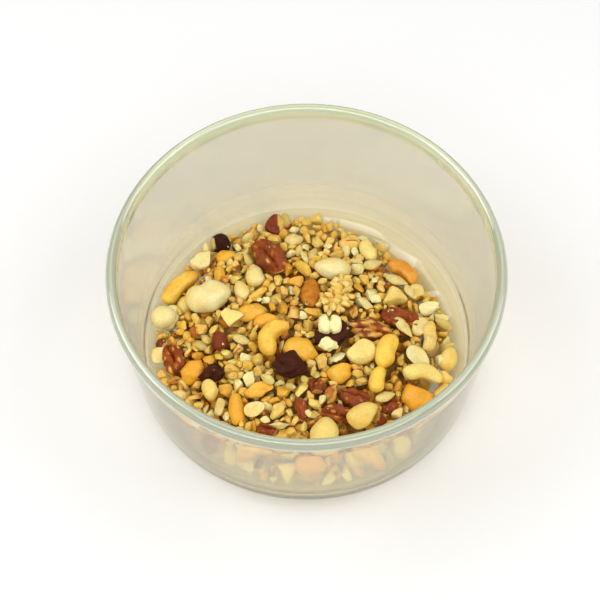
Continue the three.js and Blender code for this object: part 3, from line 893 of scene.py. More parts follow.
def crumb_clump(size, width, rng):
    """Granules baked into a lump: small broken bits all over a low mound."""
    mound = Nut(16, 12).scaled(0.7 * size, 0.7 * width, 0.4 * width)
    mound.skin[:] = 0
    # Painted shade on the mound between the granules.
    mound.deep[:] = 0.7
    for k in range(GRANULES):
        # The golden angle spreads the granules evenly over the upper side.
        up = 1 - 1.15 * (k + 0.5) / GRANULES
        flat = math.sqrt(max(0.0, 1 - up * up))
        angle = GOLDEN_ANGLE * k + rng.uniform(-0.15, 0.15)
        place = np.array([flat * math.cos(angle) * size, flat * math.sin(angle) * width, up * 0.6 * width])
        bit = broken(rng.uniform(4.8, 6.6), rng.uniform(3.4, 4.6), 3.6, rng, cuts=6)
        bit.turned(Euler((rng.uniform(-0.8, 0.8), rng.uniform(-0.8, 0.8), angle)).to_matrix())
        mound.joined(bit, place * 0.41)
    return mound


print("broken piece:", len(broken(4, 3, 3, np.random.RandomState(0)).faces), "faces")

# %% [markdown]
# ## Letting the nuts settle
# A heap looks right when every nut rests on others. A rigid-body simulation of that many nuts
# is slow and differs between computers, so the pile is a height map instead: a fine grid over the
# bowl's floor that holds the height of the topmost nut. A new nut tries a few places, comes down
# until it touches, and stays at the one that is lowest in the heap. Then it raises the map. For
# this each nut is seen as one or more egg shapes, a little smaller than the nut, so that neighbours
# nestle.


# %% The pile
class Pile:
    """Height of the topmost nut over a grid of small squares, in millimetres."""

    CELL = 0.5
    HALF = 80

    def __init__(self):
        self.count = int(2 * self.HALF / self.CELL) + 1
        ticks = np.arange(self.count) * self.CELL - self.HALF
        self.x, self.y = np.meshgrid(ticks, ticks, indexing="ij")
        self.height = glass_floor(np.hypot(self.x, self.y))
        self.target = heap_top(self.x, self.y)
        self.big = np.zeros_like(self.height, bool)

    def footprint(self, eggs):
        """Lowest and highest surface of a piece over the grid, for eggs as (middle, half sizes, turn)."""
        reach = max(np.abs(middle[:2]).max() + max(halves) for middle, halves, _ in eggs)
        n = int(math.ceil(reach / self.CELL))
        ticks = np.arange(-n, n + 1) * self.CELL
        gx, gy = np.meshgrid(ticks, ticks, indexing="ij")
        low = np.full(gx.shape, np.inf)
        high = np.full(gx.shape, -np.inf)
        for middle, halves, turn in eggs:
            form = turn @ np.diag(1 / np.square(halves)) @ turn.T
            dx, dy = gx - middle[0], gy - middle[1]
            b = form[0, 2] * dx + form[1, 2] * dy
            c = form[0, 0] * dx ** 2 + 2 * form[0, 1] * dx * dy + form[1, 1] * dy ** 2 - 1
            inside = b ** 2 - form[2, 2] * c
            inner = inside > 0
            root = np.sqrt(np.where(inner, inside, 0))
            low = np.where(inner, np.minimum(low, middle[2] + (-b - root) / form[2, 2]), low)
            high = np.where(inner, np.maximum(high, middle[2] + (-b + root) / form[2, 2]), high)
        return n, np.isfinite(low), low, high

    def cell(self, x, y):
        return int(round((x + self.HALF) / self.CELL)), int(round((y + self.HALF) / self.CELL))

    def rest(self, print_of, x, y):
        """The height at which a piece's middle comes to rest at a place."""
        n, mask, low, _ = print_of
        i, j = self.cell(x, y)
        under = self.height[i - n:i + n + 1, j - n:j + n + 1]
        return float((under - low)[mask].max())

    def put(self, print_of, x, y, z, big=False):
        n, mask, _, high = print_of
        i, j = self.cell(x, y)
        window = self.height[i - n:i + n + 1, j - n:j + n + 1]
        np.maximum(window, np.where(mask, z + high, -np.inf), out=window)
        if big:
            self.big[i - n:i + n + 1, j - n:j + n + 1] |= mask

    def around(self, cells=5):
        """The height averaged over a small square round each place."""
        total = np.zeros_like(self.height)
        for along in range(-cells, cells + 1):
            total += np.roll(self.height, along, 0)
        rows = total / (2 * cells + 1)
        total = np.zeros_like(self.height)
        for along in range(-cells, cells + 1):
            total += np.roll(rows, along, 1)
        return total / (2 * cells + 1)


pile = Pile()
print("pile grid:", pile.count, "x", pile.count)


# %% One kind of nut, gathered as one mesh
class Kind:
    """All nuts of one kind: their meshes are gathered and become one piece."""

    def __init__(self, name, material):
        self.name = name
        self.material = material
        self.places, self.faces, self.skin, self.deep, self.tone = [], [], [], [], []
        self.count = 0

    def add(self, nut, matrix, tone):
        moved = nut.at @ np.array(matrix.to_3x3()).T + np.array(matrix.translation)
        base = sum(len(p) for p in self.places)
        self.places.append(moved)
        self.faces.extend(tuple(i + base for i in face) for face in nut.faces)
        self.skin.append(nut.skin)
        self.deep.append(nut.deep)
        self.tone.append(np.full(len(moved), tone))
        self.count += 1


def mark(mesh, label, values, kind="FLOAT"):
    """Writes an attribute: one value, or one vector, for each point of the mesh."""
    field = "vector" if kind == "FLOAT_VECTOR" else "value"
    numbers = np.asarray(values, np.int32 if kind == "INT" else np.float32)
    mesh.attributes.new(label, kind, "POINT").data.foreach_set(field, numbers.ravel())


def mark_painted_shade(mesh, most=1.0):
    """Paints shade: marks how far each point lies below the heap's own surface round it, from 0 up to most,
    and the materials darken and brown it by that much.

    The painted shade that a nut brings along in its grooves, under the same name, stays. What lies at the
    glass gets light through it and stays pale."""
    places = np.empty(3 * len(mesh.vertices))
    mesh.vertices.foreach_get("co", places)
    places = places.reshape(-1, 3) / MM
    i = np.clip(np.rint((places[:, 0] + pile.HALF) / pile.CELL).astype(int), 0, pile.count - 1)
    j = np.clip(np.rint((places[:, 1] + pile.HALF) / pile.CELL).astype(int), 0, pile.count - 1)
    below = pile.around()[i, j] - places[:, 2]
    to_glass = np.vectorize(inner_radius)(places[:, 2]) - np.hypot(places[:, 0], places[:, 1])
    deep = most * np.clip((below - 0.6) / 3.4, 0, 1) * np.clip((to_glass - 2) / 6, 0.1, 1)
    if "deep" in mesh.attributes:
        own = np.empty(len(mesh.vertices), np.float32)
        mesh.attributes["deep"].data.foreach_get("value", own)
        deep = np.maximum(deep, own)
        mesh.attributes.remove(mesh.attributes["deep"])
    mark(mesh, "deep", deep)


def as_piece(kind, smooth_angle=50):
    """Makes the gathered nuts one object, with their skin, painted shade and tone as attributes."""
    mesh = bpy.data.meshes.new(kind.name)
    mesh.from_pydata((np.concatenate(kind.places) * MM).tolist(), [], kind.faces)
    for label, values in (("skin", kind.skin), ("deep", kind.deep), ("tone", kind.tone)):
        mark(mesh, label, np.concatenate(values))
    point_outwards(mesh)
    mesh.shade_smooth()
    mesh.set_sharp_from_angle(angle=math.radians(smooth_angle))
    mesh.materials.append(kind.material)
    piece = bpy.data.objects.new(kind.name, mesh)
    bpy.context.scene.collection.objects.link(piece)
    return piece


def triangles(piece):
    return sum(len(face.vertices) - 2 for face in piece.data.polygons)


def keep(piece):
    """The piece is part of the heap: it rides with the bowl and stands for the heap's solid."""
    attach(piece, "root")
    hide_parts("nut_heap")
    return piece


print("gathering ready")

# %% [markdown]
# ## The core
# Nobody sees the middle of the heap, so a lumpy core fills it, well under the surface. It keeps
# light from shining through and saves a thousand nuts. Its colours are darker than the bits over
# it, as painted shade, so that a gap that reaches it only looks like a deeper nut.

# %% Core
CORE_SHARE = 0.78
CORE_BOTTOM = 9.5
CORE_DEPTH = 7.0


def make_core(rng):
    """A low lumpy disc inside the heap."""
    nut = Nut(48, 16)
    # The ball's poles lie along X: turn them upright, then fit the two faces.
    nut.turned(Matrix.Rotation(-math.pi / 2, 4, "Y"))
    x, y, z = nut.at.T
    flat = np.hypot(x, y)
    angle = np.arctan2(y, x)
    reach = CORE_SHARE * heap_reach(angle) * flat
    px, py = HEAP_CENTRE[0] + reach * np.cos(angle), HEAP_CENTRE[1] + reach * np.sin(angle)
    top = np.maximum(heap_top(px, py) - CORE_DEPTH, CORE_BOTTOM + 0.3)
    pz = np.where(z > 0, top, CORE_BOTTOM)
    pz = np.where(np.abs(z) < 0.01, (top + CORE_BOTTOM) / 2, pz)
    nut.at = np.stack([px, py, pz], 1)
    nut.at[:, 2] += 0.5 * np.sin(px) * np.cos(py) * (z > 0.01)
    return nut


core = Kind("heap_core", None)
core.add(make_core(np.random.RandomState(1)), Matrix.Identity(4), 0.6)
# The core's colours are darker than the bits': painted shade.
core.material = nut_material("packed crumbs", (180, 138, 64), (130, 84, 32), patch=3, grain=1.0, bump=0.8,
                             coat=0.0)
core_piece = keep(as_piece(core))
print("core:", triangles(core_piece), "triangles")

# %% [markdown]
# ## The nuts that stand out
# The pieces that the eye picks out lie where the photograph shows them. Each row gives its place
# in millimetres, its heading in degrees and its size. Its tone runs from pale at 0 to roasted at 1.

# %% Pieces of note
# maker, x, y, heading, length, width, tone, and what is special about it
NOTED = [
    ("macadamia", -45, 19, 20, 21, 16, 0.25, {}),
    ("golden cashew", -59, 27, 50, 26, 8, 0.45, {"turn": 0.8}),
    ("flat half", -49, 40, 40, 11.5, 9, 0.1, {"up": 1, "chip": 0.34}),
    ("dark chunk", -41.5, 49, 0, 12, 10, 0.5, {"cuts": 3, "bare": (-1, -0.35, 0.35)}),
    ("red chunk", -15, 61, 0, 10.5, 9.5, 0.5, {"cuts": 3, "bare": (1, -0.2, 0.6), "lift": 1}),
    ("pecan", -17, 40, -50, 22, 13, 0.5, {"groove": -0.25, "striped": 0.12, "ends": 0.42}),
    ("golden half", -38, 43, 5, 9, 7, 0.3, {}),
    ("peanut", -24, 30, 100, 12.5, 8.5, 0.7, {"point": 0.3}),
    ("peanut", -30, 22, 112, 11, 7, 0.9, {"seam": 0.1}),
    ("golden half", -25, 10, 16, 15, 9, 0.5, {"chip": 0.38}),
    ("golden half", -18, 5, 10, 12, 7, 0.7, {}),
    ("cream chunk", -34, 4, -10, 13, 9, -0.2, {"cuts": 4, "lit": 1}),
    ("peanut", -65, 9, 20, 12, 10.5, 0.0, {}),
    ("almond", 2, 20, 84, 16, 9, 0.4, {}),
    ("golden chunk", -5, 26, 60, 9, 6, 0.9, {}),
    ("golden chunk", -8, 32, 80, 9, 5, 0.8, {}),
    ("peanut", 12, 33, -6, 17, 11, 0.35, {"seam": 0.06, "point": -0.2}),
    ("slit seed", 21, 50, 10, 11.5, 8, 0.5, {}),
    ("cream cashew", 30, 46, 110, 13, 7, 0.1, {"turn": 2.2}),
    ("golden cashew", 45, 34, -42, 18, 7.5, 1.1, {"turn": 2.2}),
    ("white chunk", 57, 15, 20, 9, 8, 0.0, {"cuts": 4, "lit": 1}),
    ("wedge", 40, 20, 260, 11, 10, 0.5, {}),
    ("kernel", 42, 29, -25, 11, 5.5, 0.5, {}),
    ("kernel", 48, 23, -60, 9, 5, 0.3, {}),
    ("flat half", 51, 24, 40, 8, 7, 0.9, {"up": 1, "spot": 0.9}),
    ("pecan", 43, 8, -16, 19, 10, 0.5, {"groove": -0.3, "ends": 0.4}),
    ("pecan", 29, 1, -12, 20, 10, 0.5, {"groove": -0.2, "striped": 0.85, "ends": 0.4}),
    ("clump", 13, 15, 20, 17, 14, 0.9, {}),
    ("clump", 16, 22, 70, 12, 9, 0.8, {}),
    ("dark walnut", 12.5, -3.5, 10, 17, 13, 0.5, {"height": 0.5}),
    ("pale h", 10.5, 0.5, 0, 10.5, 9.5, 0.1, {}),
    ("pale walnut", 10, -9, 10, 8, 6, 0.2, {"skinned": 0.0}),
    ("golden cashew", -14, -5, 62, 17, 8.5, 0.35, {"turn": 3.4}),
    ("golden half", -2, -10, -5, 17, 11, 0.4, {"chip": 0.3}),
    ("dark walnut", -7, -19, 5, 14, 11, 0.5, {}),
    ("red chunk", -39, -5, 88, 10, 7, 0.2, {"cuts": 1, "lift": 2}),
    ("kernel", -48, -5, -20, 9, 5, 0.8, {}),
    ("pecan", -60, -11, 104, 16, 10, 0.5, {"groove": 0.1, "striped": 0.3, "ends": 0.38}),
    ("red chunk", -65, -4, 0, 6.5, 5.5, 0.5, {}),
    ("golden half", -51, -18, 60, 13, 10, 0.85, {"chip": 0.36}),
    ("dark walnut", -42, -20, 10, 11, 8.5, 0.5, {}),
    ("cream cashew", -42, -29, 104, 12, 7, 0.5, {"turn": 1.6}),
    ("pale chunk", -39, -38, 62, 10, 6, 0.6, {}),
    ("golden half", -21, -29, 22, 13, 7, 0.7, {"up": 1}),
    ("flat half", -23, -38, 30, 9, 7.5, 0.4, {"up": 1, "spot": 1.0}),
    ("golden half", -31, -37, 95, 15, 7.5, 0.6, {"chip": 0.4}),
    ("pecan", -17, -47, -10, 12, 6, 0.5, {"groove": 0.4}),
    ("pale chunk", -12, -46, 0, 9, 6, 0.2, {}),
    ("pecan", -2, -38, 102, 13, 6, 0.5, {"groove": 0.7}),
    ("pecan", 5, -27, 70, 9, 8, 0.5, {"groove": 0.4}),
    ("golden half", 15, -20, 60, 12.5, 10, 0.2, {"chip": 0.2}),
    ("cream chunk", 24, -11, 0, 13, 11, 0.2, {"cuts": 2, "lit": 1}),
    ("golden cashew", 37, -11, 72, 20, 9, 0.15, {"turn": 1.6}),
    ("golden cashew", 32, -25, 76, 16, 7, 0.2, {"turn": 1.0}),
    ("cream cashew", 52, -21, -6, 20, 7.5, 0.1, {"turn": 1.8}),
    ("flat half", 50, -12, -52, 13, 8.5, 0.4, {"up": 1}),
    ("kernel", 44, 3, -56, 13, 5.5, 0.3, {}),
    ("flat half", 52, 4, 52, 10, 8, 0.5, {"up": 1}),
    ("cream cashew", 57, 1, 95, 13, 6, 0.8, {"turn": 1.8}),
    ("pale chunk", 55, -4, 30, 9.5, 8, 0.8, {}),
    ("pale chunk", 61, -12, 0, 7, 6.5, 0.3, {}),
    ("golden half", 50, -29, 35, 16, 13, 0.9, {"chip": 0.16}),
    ("pecan", 22, -33, -25, 16, 9, 0.5, {"groove": 0.2, "ends": 0.38}),
    ("pecan", 14, -40, -8, 16, 9, 0.5, {"groove": -0.2, "striped": 0.2, "ends": 0.38}),
    ("pecan", 38, -35, 10, 11, 8, 0.5, {"groove": 0.3}),
    ("kernel", 35, -32, 22, 10, 5, 0.2, {}),
    ("red chunk", 31, -41, 30, 9, 7, 0.5, {}),
    ("cream chunk", 25, -43, 30, 14, 12, 0.6, {"cuts": 4}),
    ("cream peanut", 8, -50, 80, 15, 12.5, 0.3, {}),
    ("pale chunk", 40, -40, 0, 9, 7, 0.1, {}),
    ("pecan", 44, -47, 60, 13, 8, 0.5, {"groove": 0.3}),
    ("pecan", -41, -52, -30, 14, 8, 0.5, {"groove": 0.3}),
    ("kernel", 31, 37, 20, 10, 5.5, 0.7, {}),
    ("kernel", 3, 43, 70, 10, 5.5, 0.6, {}),
    ("kernel", -14, 17, 50, 9, 5, 0.8, {}),
    ("flat half", -6, 52, 15, 9, 7, 0.4, {}),
    ("pale chunk", -58, -30, 0, 9, 7, 0.5, {}),
    ("golden half", -52, -42, 40, 12, 8, 0.5, {}),
    ("golden cashew", -22, -57, 15, 18, 8, 0.5, {"turn": 1.8}),
    ("wedge", -8, -65, 180, 12, 9, 0.4, {}),
    ("golden half", 2, -62, 0, 14, 9, 0.8, {"chip": 0.36}),
    ("golden cashew", 26, -59, -25, 17, 7.5, 0.6, {"turn": 2.0}),
]
print("pieces of note:", len(NOTED))

# %% [markdown]
# ## Chopped bits
# Most of the heap is chopped nuts of four to nine millimetres, with a few larger ones and some
# crumbs. Each kind of bit has a few variants. The pile decides where each one rests, and the places
# are kept as points with their turn, size and variant. Geometry Nodes then put the right variant on
# every point and make it all real.

# %% Kinds of bits
VARIANTS = 6
BIT_FACTORS = {
    # name: share of the bits; length, width and height in proportion; cuts
    "chopped_peanuts": (0.56, (1.1, 0.9, 0.74), 5),
    "chopped_cashews": (0.26, (1.3, 0.85, 0.7), 6),
    "white_chips": (0.1, (1.15, 0.9, 0.64), 6),
    "chopped_almonds": (0.04, (1.2, 0.8, 0.62), 5),
    "chopped_pecans": (0.03, (1.25, 0.85, 0.62), 5),
    "sunflower_kernels": (0.01, (1.9, 0.95, 0.5), 0),
}
BIT_NAMES = list(BIT_FACTORS)
BIT_SHARES = np.array([BIT_FACTORS[name][0] for name in BIT_NAMES])
bit_points = {name: [] for name in BIT_NAMES}
print("kinds of bits:", BIT_NAMES)


# %% Laying bits on the pile
BIT_TILT = 0.9
BIT_NESTLE = 0.75
SPILL = 1.5


def random_turn(rng, tilt):
    """A turn with any heading and a tilt of up to the given angle, as Euler angles."""
    return (rng.uniform(-tilt, tilt), rng.uniform(-tilt, tilt), rng.uniform(0, 2 * math.pi))


def turn_matrix(turn):
    return np.array(Euler(turn, "XYZ").to_matrix())


def fits_glass(x, y, z, reach):
    return math.hypot(x, y) + reach < inner_radius(z) - GLASS_GAP


def lay_bits(rng, size_range, top_offset, tries, patience, most=9999):
    """Drops bits until the pile is full up to its surface plus top_offset, and gives their number.

    A bit tries some places, and takes the one where it lies lowest. After so many bits in a row that
    found none, the patience is at an end."""
    misses = 0
    laid = 0
    while misses < patience and laid < most:
        name = BIT_NAMES[rng.choice(len(BIT_NAMES), p=BIT_SHARES)]
        _, proportion, _ = BIT_FACTORS[name]
        size = size_range[0] + (size_range[1] - size_range[0]) * rng.uniform() ** 1.2
        if name == "sunflower_kernels":
            size = rng.uniform(4.2, 5.2)
        halves = np.array(proportion) * size / 2
        turn = random_turn(rng, BIT_TILT)
        print_of = pile.footprint([(np.zeros(3), halves * BIT_NESTLE, turn_matrix(turn))])
        best = None
        for _ in range(tries):
            angle = rng.uniform(0, 2 * math.pi)
            out = math.sqrt(rng.uniform(0, 1)) * (heap_reach(angle) + SPILL)
            x, y = HEAP_CENTRE[0] + out * math.cos(angle), HEAP_CENTRE[1] + out * math.sin(angle)
            z = pile.rest(print_of, x, y)
            room = float(heap_top(x, y)) + top_offset - z - halves[2]
            i, j = pile.cell(x, y)
            if pile.big[i, j]:
                continue
            if room > 0 and fits_glass(x, y, z, 0.9 * halves[0]) and (best is None or room > best[0]):
                best = (room, x, y, z)
        if best is None:
            misses += 1
            continue
        misses = 0
        _, x, y, z = best
        pile.put(print_of, x, y, z)
        bit_points[name].append((x, y, z, turn, size, rng.randint(VARIANTS), rng.uniform()))
        laid += 1
    return laid


# %% Setting down one large piece
SLOPE_STEP = 3
LEAN_WITH_HEAP = 0.6
PIECE_NESTLE = 0.93


def settle(kind, nut, eggs, x, y, heading, tone, sink, tilt, lift, big):
    """Brings a piece down on the pile at a place, leaning with the heap, and adds it to its kind.

    A piece with a lift stays that much higher, held by its neighbours. Bits don't lie on a big one."""
    rise_x = float(heap_top(x + SLOPE_STEP, y) - heap_top(x - SLOPE_STEP, y)) / (2 * SLOPE_STEP)
    rise_y = float(heap_top(x, y + SLOPE_STEP) - heap_top(x, y - SLOPE_STEP)) / (2 * SLOPE_STEP)
    leans = (LEAN_WITH_HEAP * math.atan(rise_y), -LEAN_WITH_HEAP * math.atan(rise_x), 0)
    slope = Euler(leans).to_matrix()
    own = Euler((tilt[0], tilt[1], 0)).to_matrix()
    turn = slope @ Matrix.Rotation(math.radians(heading), 3, "Z") @ own
    as_array = np.array(turn)
    moved = [(as_array @ np.array(middle), np.array(halves), as_array @ np.array(inner))
             for middle, halves, inner in eggs]
    print_of = pile.footprint([(m, h * PIECE_NESTLE, t) for m, h, t in moved])
    thickness = min(min(h) for _, h, _ in moved)
    for inward in np.arange(0, 12, 0.5):
        scale = 1 - inward / math.hypot(x, y)
        px, py = x * scale, y * scale
        z = min(pile.rest(print_of, px, py), float(heap_top(px, py)) + thickness) - sink * thickness + lift
        spots = nut.at @ as_array.T + np.array([px, py, z])
        radii = np.hypot(spots[:, 0], spots[:, 1])
        if all(r < inner_radius(h) - GLASS_GAP for r, h in zip(radii, spots[:, 2])):
            break
    kind.add(nut, Matrix.Translation((px, py, z)) @ turn.to_4x4(), tone)
    pile.put(print_of, px, py, z, big=big)


def one_egg(nut):
    """The egg shape that a nut nearly fills."""
    low, high = nut.at.min(0), nut.at.max(0)
    return [((low + high) / 2, (high - low) / 2, np.eye(3))]


def cashew_eggs(length, width, turn):
    """Five balls along the bend."""
    radius = (length - width / 2) / (2 * math.sin(turn / 2))
    middle = radius * (1 + math.cos(turn / 2)) / 2
    eggs = []
    for share in (-0.85, -0.45, 0, 0.45, 0.85):
        along = share * turn / 2
        eggs.append(((radius * math.sin(along), radius * math.cos(along) - middle, 0),
                     (width / 2,) * 3, np.eye(3)))
    return eggs


KINDS = {
    "golden cashew": Kind("golden_cashews", cashew_flesh),
    "cream cashew": Kind("cream_cashews", cream_flesh),
    "golden half": Kind("golden_halves", golden_flesh),
    "blanched": Kind("blanched_nuts", blanched_flesh),
    "almond": Kind("almonds", almond_skin),
    "red chunk": Kind("red_skinned_chunks", red_skin),
    "dark chunk": Kind("dark_skinned_chunk", dark_skin),
    "pecan": Kind("pecans", pecan_skin),
    "dark walnut": Kind("walnuts", walnut_skin),
    "pale walnut": Kind("pale_walnuts", white_walnut),
    "kernel": Kind("large_sunflower_kernels", kernel_skin),
}
MAKERS = {
    # what it is: function, kind, how deep it sinks in
    "golden cashew": (cashew, "golden cashew", 0.2),
    "cream cashew": (cashew, "cream cashew", 0.2),
    "macadamia": (macadamia, "blanched", 0.3),
    "peanut": (egg, "blanched", 0.2),
    "cream peanut": (egg, "cream cashew", 0.2),
    "flat half": (half_nut, "blanched", 0.1),
    "golden half": (half_nut, "golden half", 0.1),
    "cream chunk": (chunk, "cream cashew", 0.1),
    "white chunk": (chunk, "pale walnut", 0.1),
    "golden chunk": (chunk, "golden half", 0.2),
    "pale chunk": (chunk, "blanched", 0.2),
    "wedge": (wedge, "cream cashew", 0.2),
    "clump": (crumb_clump, "cream cashew", 0.3),
    "almond": (almond, "almond", 0.2),
    "slit seed": (slit_seed, "almond", 0.2),
    "red chunk": (chunk, "red chunk", 0.2),
    "dark chunk": (chunk, "dark chunk", 0.2),
    "pecan": (pecan, "pecan", 0.2),
    "dark walnut": (walnut, "dark walnut", 0.4),
    "pale h": (pale_h, "pale walnut", 0.1),
    "pale walnut": (walnut, "pale walnut", 0.3),
    "kernel": (sunflower_kernel, "kernel", 0.1),
}


def set_down(name, x, y, heading, length, width, tone, special, seed, tilt=None, big=True):
    """Makes a piece of a kind in MAKERS and settles it. Its own seed lets one piece change alone."""
    own_rng = np.random.RandomState(seed)
    maker, kind_name, sink = MAKERS[name]
    special = dict(special)
    lift = special.pop("lift", 0)
    nut = maker(length, width, own_rng, **special)
    eggs = cashew_eggs(length, width, special["turn"]) if "cashew" in name else one_egg(nut)
    lean = tilt or (own_rng.uniform(-0.2, 0.2), own_rng.uniform(-0.15, 0.15))
    settle(KINDS[kind_name], nut, eggs, x, y, heading, tone, sink, lean, lift, big)


# %% [markdown]
# ## Building up the heap
# Large pieces first stand against the glass all round, because they show through it. Then comes a
# floor of bits, then the bed that the pieces of note lie on, then those pieces, and last the bits
# that fill in round them.

# %% Pieces against the glass
AT_GLASS = ["pale chunk", "cream peanut", "flat half", "cream chunk", "white chunk", "flat half",
            "cream chunk", "pale chunk", "cream peanut", "white chunk", "wedge"]
AT_GLASS_COUNT = 42
AT_GLASS_RADIUS = 67
AT_GLASS_TILT = 0.9
FAR_SIDE_SIZE = 0.7
AT_GLASS_SEED = 200

rng = np.random.RandomState(7)
for k in range(AT_GLASS_COUNT):
    angle = 2 * math.pi * (k + rng.uniform(-0.25, 0.25)) / AT_GLASS_COUNT
    name = AT_GLASS[k % len(AT_GLASS)]
    special = {"up": 1} if name == "flat half" else {}
    size = FAR_SIDE_SIZE if math.sin(angle) > 0.3 else 1
    x, y = AT_GLASS_RADIUS * math.cos(angle), AT_GLASS_RADIUS * math.sin(angle)
    length = size * rng.uniform(9.5, 13)
    width = size * rng.uniform(7.5, 10)
    tone = rng.uniform()
    tilt = (AT_GLASS_TILT, rng.uniform(-0.5, 0.5))
    set_down(name, x, y, math.degrees(angle) + 90, length, width, tone, special, AT_GLASS_SEED + k,
             tilt=tilt, big=False)
print("pieces at the glass:", AT_GLASS_COUNT)

# %% The bottom of the heap
floor_layer = lay_bits(rng, (6.0, 9.0), top_offset=-6.0, tries=8, patience=120)
in_core = heap_share(pile.x, pile.y) < CORE_SHARE
core_top = np.maximum(heap_top(pile.x, pile.y) - CORE_DEPTH, CORE_BOTTOM)
pile.height = np.where(in_core, np.maximum(pile.height, core_top), pile.height)
bed = lay_bits(rng, (5.6, 8.4), top_offset=-1.8, tries=8, patience=80)
print("bits in the floor layer", floor_layer, "and the bed", bed)

# %% Pieces of note
for row, noted in enumerate(NOTED):
    set_down(*noted, row)

# %% Bits round them
fill = lay_bits(rng, (5.6, 9.0), top_offset=-0.4, tries=10, patience=60)
large = lay_bits(rng, (8.0, 11.5), top_offset=2.4, tries=10, patience=60, most=200)
top = lay_bits(rng, (4.8, 8.4), top_offset=1.8, tries=12, patience=260)
gaps = lay_bits(rng, (4.2, 6.0), top_offset=1.0, tries=14, patience=300, most=1300)
crumbs = lay_bits(rng, (2.2, 3.4), top_offset=0.6, tries=12, patience=100, most=160)
print("bits round the nuts", fill, "large", large, "on top", top, "in gaps", gaps, "crumbs", crumbs)

for kind in KINDS.values():
    piece = keep(as_piece(kind))
    mark_painted_shade(piece.data, most=0.6)
    print(kind.name, kind.count, "nuts,", triangles(piece), "triangles")


# %% [markdown]
# ## From points to bits
# Each kind of bit has its variants in a collection of their own. The tree reads the variant, turn
# and size from the points and makes the instances real.


# %% Scatter tree
def make_scatter_tree():
    """Puts the picked variant on every point, turned and sized by the point's attributes."""
    tree = new_tree("scatter bits", [
        ("Variants", "NodeSocketCollection", None), ("Size", "NodeSocketFloat", 1.0),
        ("Material", "NodeSocketMaterial", None)])
    inputs = add(tree, "NodeGroupInput").outputs
    variants = add(tree, "GeometryNodeCollectionInfo", [
        ("Collection", inputs["Variants"]), ("Separate Children", True), ("Reset Children", True)])
    pick = add(tree, "GeometryNodeInputNamedAttribute", [("Name", "pick")], data_type="INT")
    turn = add(tree, "GeometryNodeInputNamedAttribute", [("Name", "turn")], data_type="FLOAT_VECTOR")
    size = add(tree, "GeometryNodeInputNamedAttribute", [("Name", "size")], data_type="FLOAT")
    scale = maths(tree, "MULTIPLY", size.outputs[0], inputs["Size"])
    placed = add(tree, "GeometryNodeInstanceOnPoints",
                 [("Points", inputs["Geometry"]), ("Instance", variants.outputs[0]), ("Pick Instance", True),
                  ("Instance Index", pick.outputs[0]), ("Rotation", turn.outputs[0]),
                  ("Scale", scale)])
    real = add(tree, "GeometryNodeRealizeInstances", [("Geometry", placed.outputs["Instances"])])
    dressed = add(tree, "GeometryNodeSetMaterial",
                  [("Geometry", real.outputs["Geometry"]), ("Material", inputs["Material"])])
    add(tree, "NodeGroupOutput", [("Geometry", dressed.outputs["Geometry"])])
    return tree


scatter_tree = make_scatter_tree()


# %% Variants of a bit
def make_variants(name, proportion, cuts, rng):
    """A collection with a few bits of unit length in millimetres, all a little different."""
    collection = bpy.data.collections.new(name + " variants")
    for index in range(VARIANTS):
        if cuts:
            nut = broken(*proportion, rng, cuts=cuts)
        else:
            nut = sunflower_kernel(proportion[0], proportion[1], rng, steps=(8, 7))
        mesh = bpy.data.meshes.new(f"{name} {index}")
        mesh.from_pydata((nut.at * MM).tolist(), [], nut.faces)
        mark(mesh, "skin", nut.skin)
        point_outwards(mesh)
        mesh.shade_smooth()
        mesh.set_sharp_from_angle(angle=math.radians(30))
        collection.objects.link(bpy.data.objects.new(f"{name} {index}", mesh))
    return collection


flesh_look = {"patch": 2.6, "spread": 1.0, "roughness": 0.5, "coat": 0.1, "bump": 0.5, "glow": 0.3}
skin_look = {"patch": 3, "spread": 0.8, "coat": 0.0, "shine": 0.15}
bit_materials = {
    "chopped_peanuts": nut_material(
        "chopped peanut", (221, 199, 114), (212, 168, 70), (202, 148, 52), 0.35, **flesh_look),
    "chopped_cashews": nut_material(
        "chopped cashew", (221, 190, 84), (208, 152, 39), (200, 140, 32), 0.4, **flesh_look),
    "white_chips": nut_material(
        "white chip", (221, 213, 153), (210, 186, 105), patch=3, spread=0.8, shift=-0.2, roughness=0.5),
    "chopped_almonds": nut_material(
        "chopped almond", (223, 194, 111), (202, 146, 61), (160, 94, 32), 1.0, **skin_look),
    "chopped_pecans": nut_material(
        "chopped pecan", (210, 163, 79), (180, 112, 40), (124, 64, 23), 1.0, **skin_look),
    "sunflower_kernels": nut_material(
        "small kernel", (213, 198, 127), (190, 168, 92), patch=4, spread=1.0),
}


def make_bits(name):
    """The mesh of one kind of bit, from its points."""
    points = bit_points[name]
    _, proportion, cuts = BIT_FACTORS[name]
    mesh = bpy.data.meshes.new(name)
    mesh.from_pydata([(x * MM, y * MM, z * MM) for x, y, z, *_ in points], [], [])
    _, _, _, turns, sizes, picks, tones = zip(*points)
    mark(mesh, "turn", turns, "FLOAT_VECTOR")
    mark(mesh, "size", sizes)
    mark(mesh, "pick", picks, "INT")
    mark(mesh, "tone", tones)
    piece = bpy.data.objects.new(name, mesh)
    bpy.context.scene.collection.objects.link(piece)
    variants = make_variants(name, proportion, cuts, np.random.RandomState(len(name)))
    run_tree(piece, scatter_tree, {"Variants": variants, "Size": 1.0, "Material": bit_materials[name]})
    for variant in list(variants.objects):
        bpy.data.objects.remove(variant)
    bpy.data.collections.remove(variants)
    return piece


for name in BIT_NAMES:
    piece = keep(make_bits(name))
    mark_painted_shade(piece.data)
    print(name, len(bit_points[name]), "bits,", triangles(piece), "triangles")

# %% [markdown]
# ## Table and light
# The photograph is a soft high-key picture on white. A large flat floor takes the shadow, a bright
# world lights everything evenly, and four soft lamps, on the left, right, near and far side, give the
# nuts and the rim their highlights.


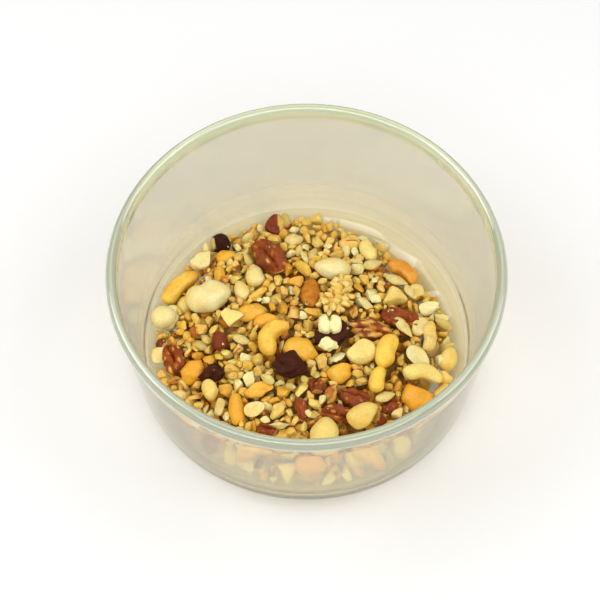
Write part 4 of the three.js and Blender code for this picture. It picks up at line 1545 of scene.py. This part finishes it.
# %% Floor and lamps
TABLE_GREY = 0.615
TABLE_HALF = 3.0
WORLD_STRENGTH = 0.46
LAMP_AIM = (0, 0, 0.02)
LAMP_COLOUR = (1, 0.995, 0.99)
LAMPS = {
    # name: place, width and height in metres, power in watts
    "left lamp": ((-0.8, 0.05, 0.9), 0.8, 0.8, 9.0),
    "right lamp": ((0.8, 0.0, 0.8), 0.8, 0.8, 6.6),
    "front lamp": ((0.0, -0.75, 0.9), 1.8, 0.5, 9.2),
    "back lamp": ((0.0, 0.75, 1.0), 0.8, 0.8, 2.6),
}


def make_floor():
    """A large flat table of plain grey that the light turns white."""
    mesh = bpy.data.meshes.new("floor")
    corners = [(-TABLE_HALF, -TABLE_HALF, 0), (TABLE_HALF, -TABLE_HALF, 0),
               (TABLE_HALF, TABLE_HALF, 0), (-TABLE_HALF, TABLE_HALF, 0)]
    mesh.from_pydata(corners, [], [(0, 1, 2, 3)])
    floor = bpy.data.objects.new("floor", mesh)
    bpy.context.scene.collection.objects.link(floor)
    material = bpy.data.materials.new("white table")
    material.use_nodes = True
    shader = material.node_tree.nodes["Principled BSDF"]
    shader.inputs["Base Color"].default_value = (TABLE_GREY, TABLE_GREY, TABLE_GREY, 1)
    shader.inputs["Roughness"].default_value = 0.7
    mesh.materials.append(material)


def make_lamp(name, place, width, height, power):
    """A soft lamp that looks at the bowl."""
    light = bpy.data.lights.new(name, "AREA")
    light.shape = "RECTANGLE"
    light.size = width
    light.size_y = height
    light.energy = power
    light.color = LAMP_COLOUR
    lamp = bpy.data.objects.new(name, light)
    bpy.context.scene.collection.objects.link(lamp)
    lamp.location = place
    lamp.rotation_euler = (Vector(LAMP_AIM) - Vector(place)).to_track_quat("-Z", "Y").to_euler()


make_floor()
for name, settings in LAMPS.items():
    make_lamp(name, *settings)

world = bpy.data.worlds.new("studio")
bpy.context.scene.world = world
world.use_nodes = True
world.node_tree.nodes["Background"].inputs["Color"].default_value = (1, 1, 1, 1)
world.node_tree.nodes["Background"].inputs["Strength"].default_value = WORLD_STRENGTH
bpy.context.scene.view_settings.view_transform = "Standard"
print("floor, lamps and world ready")
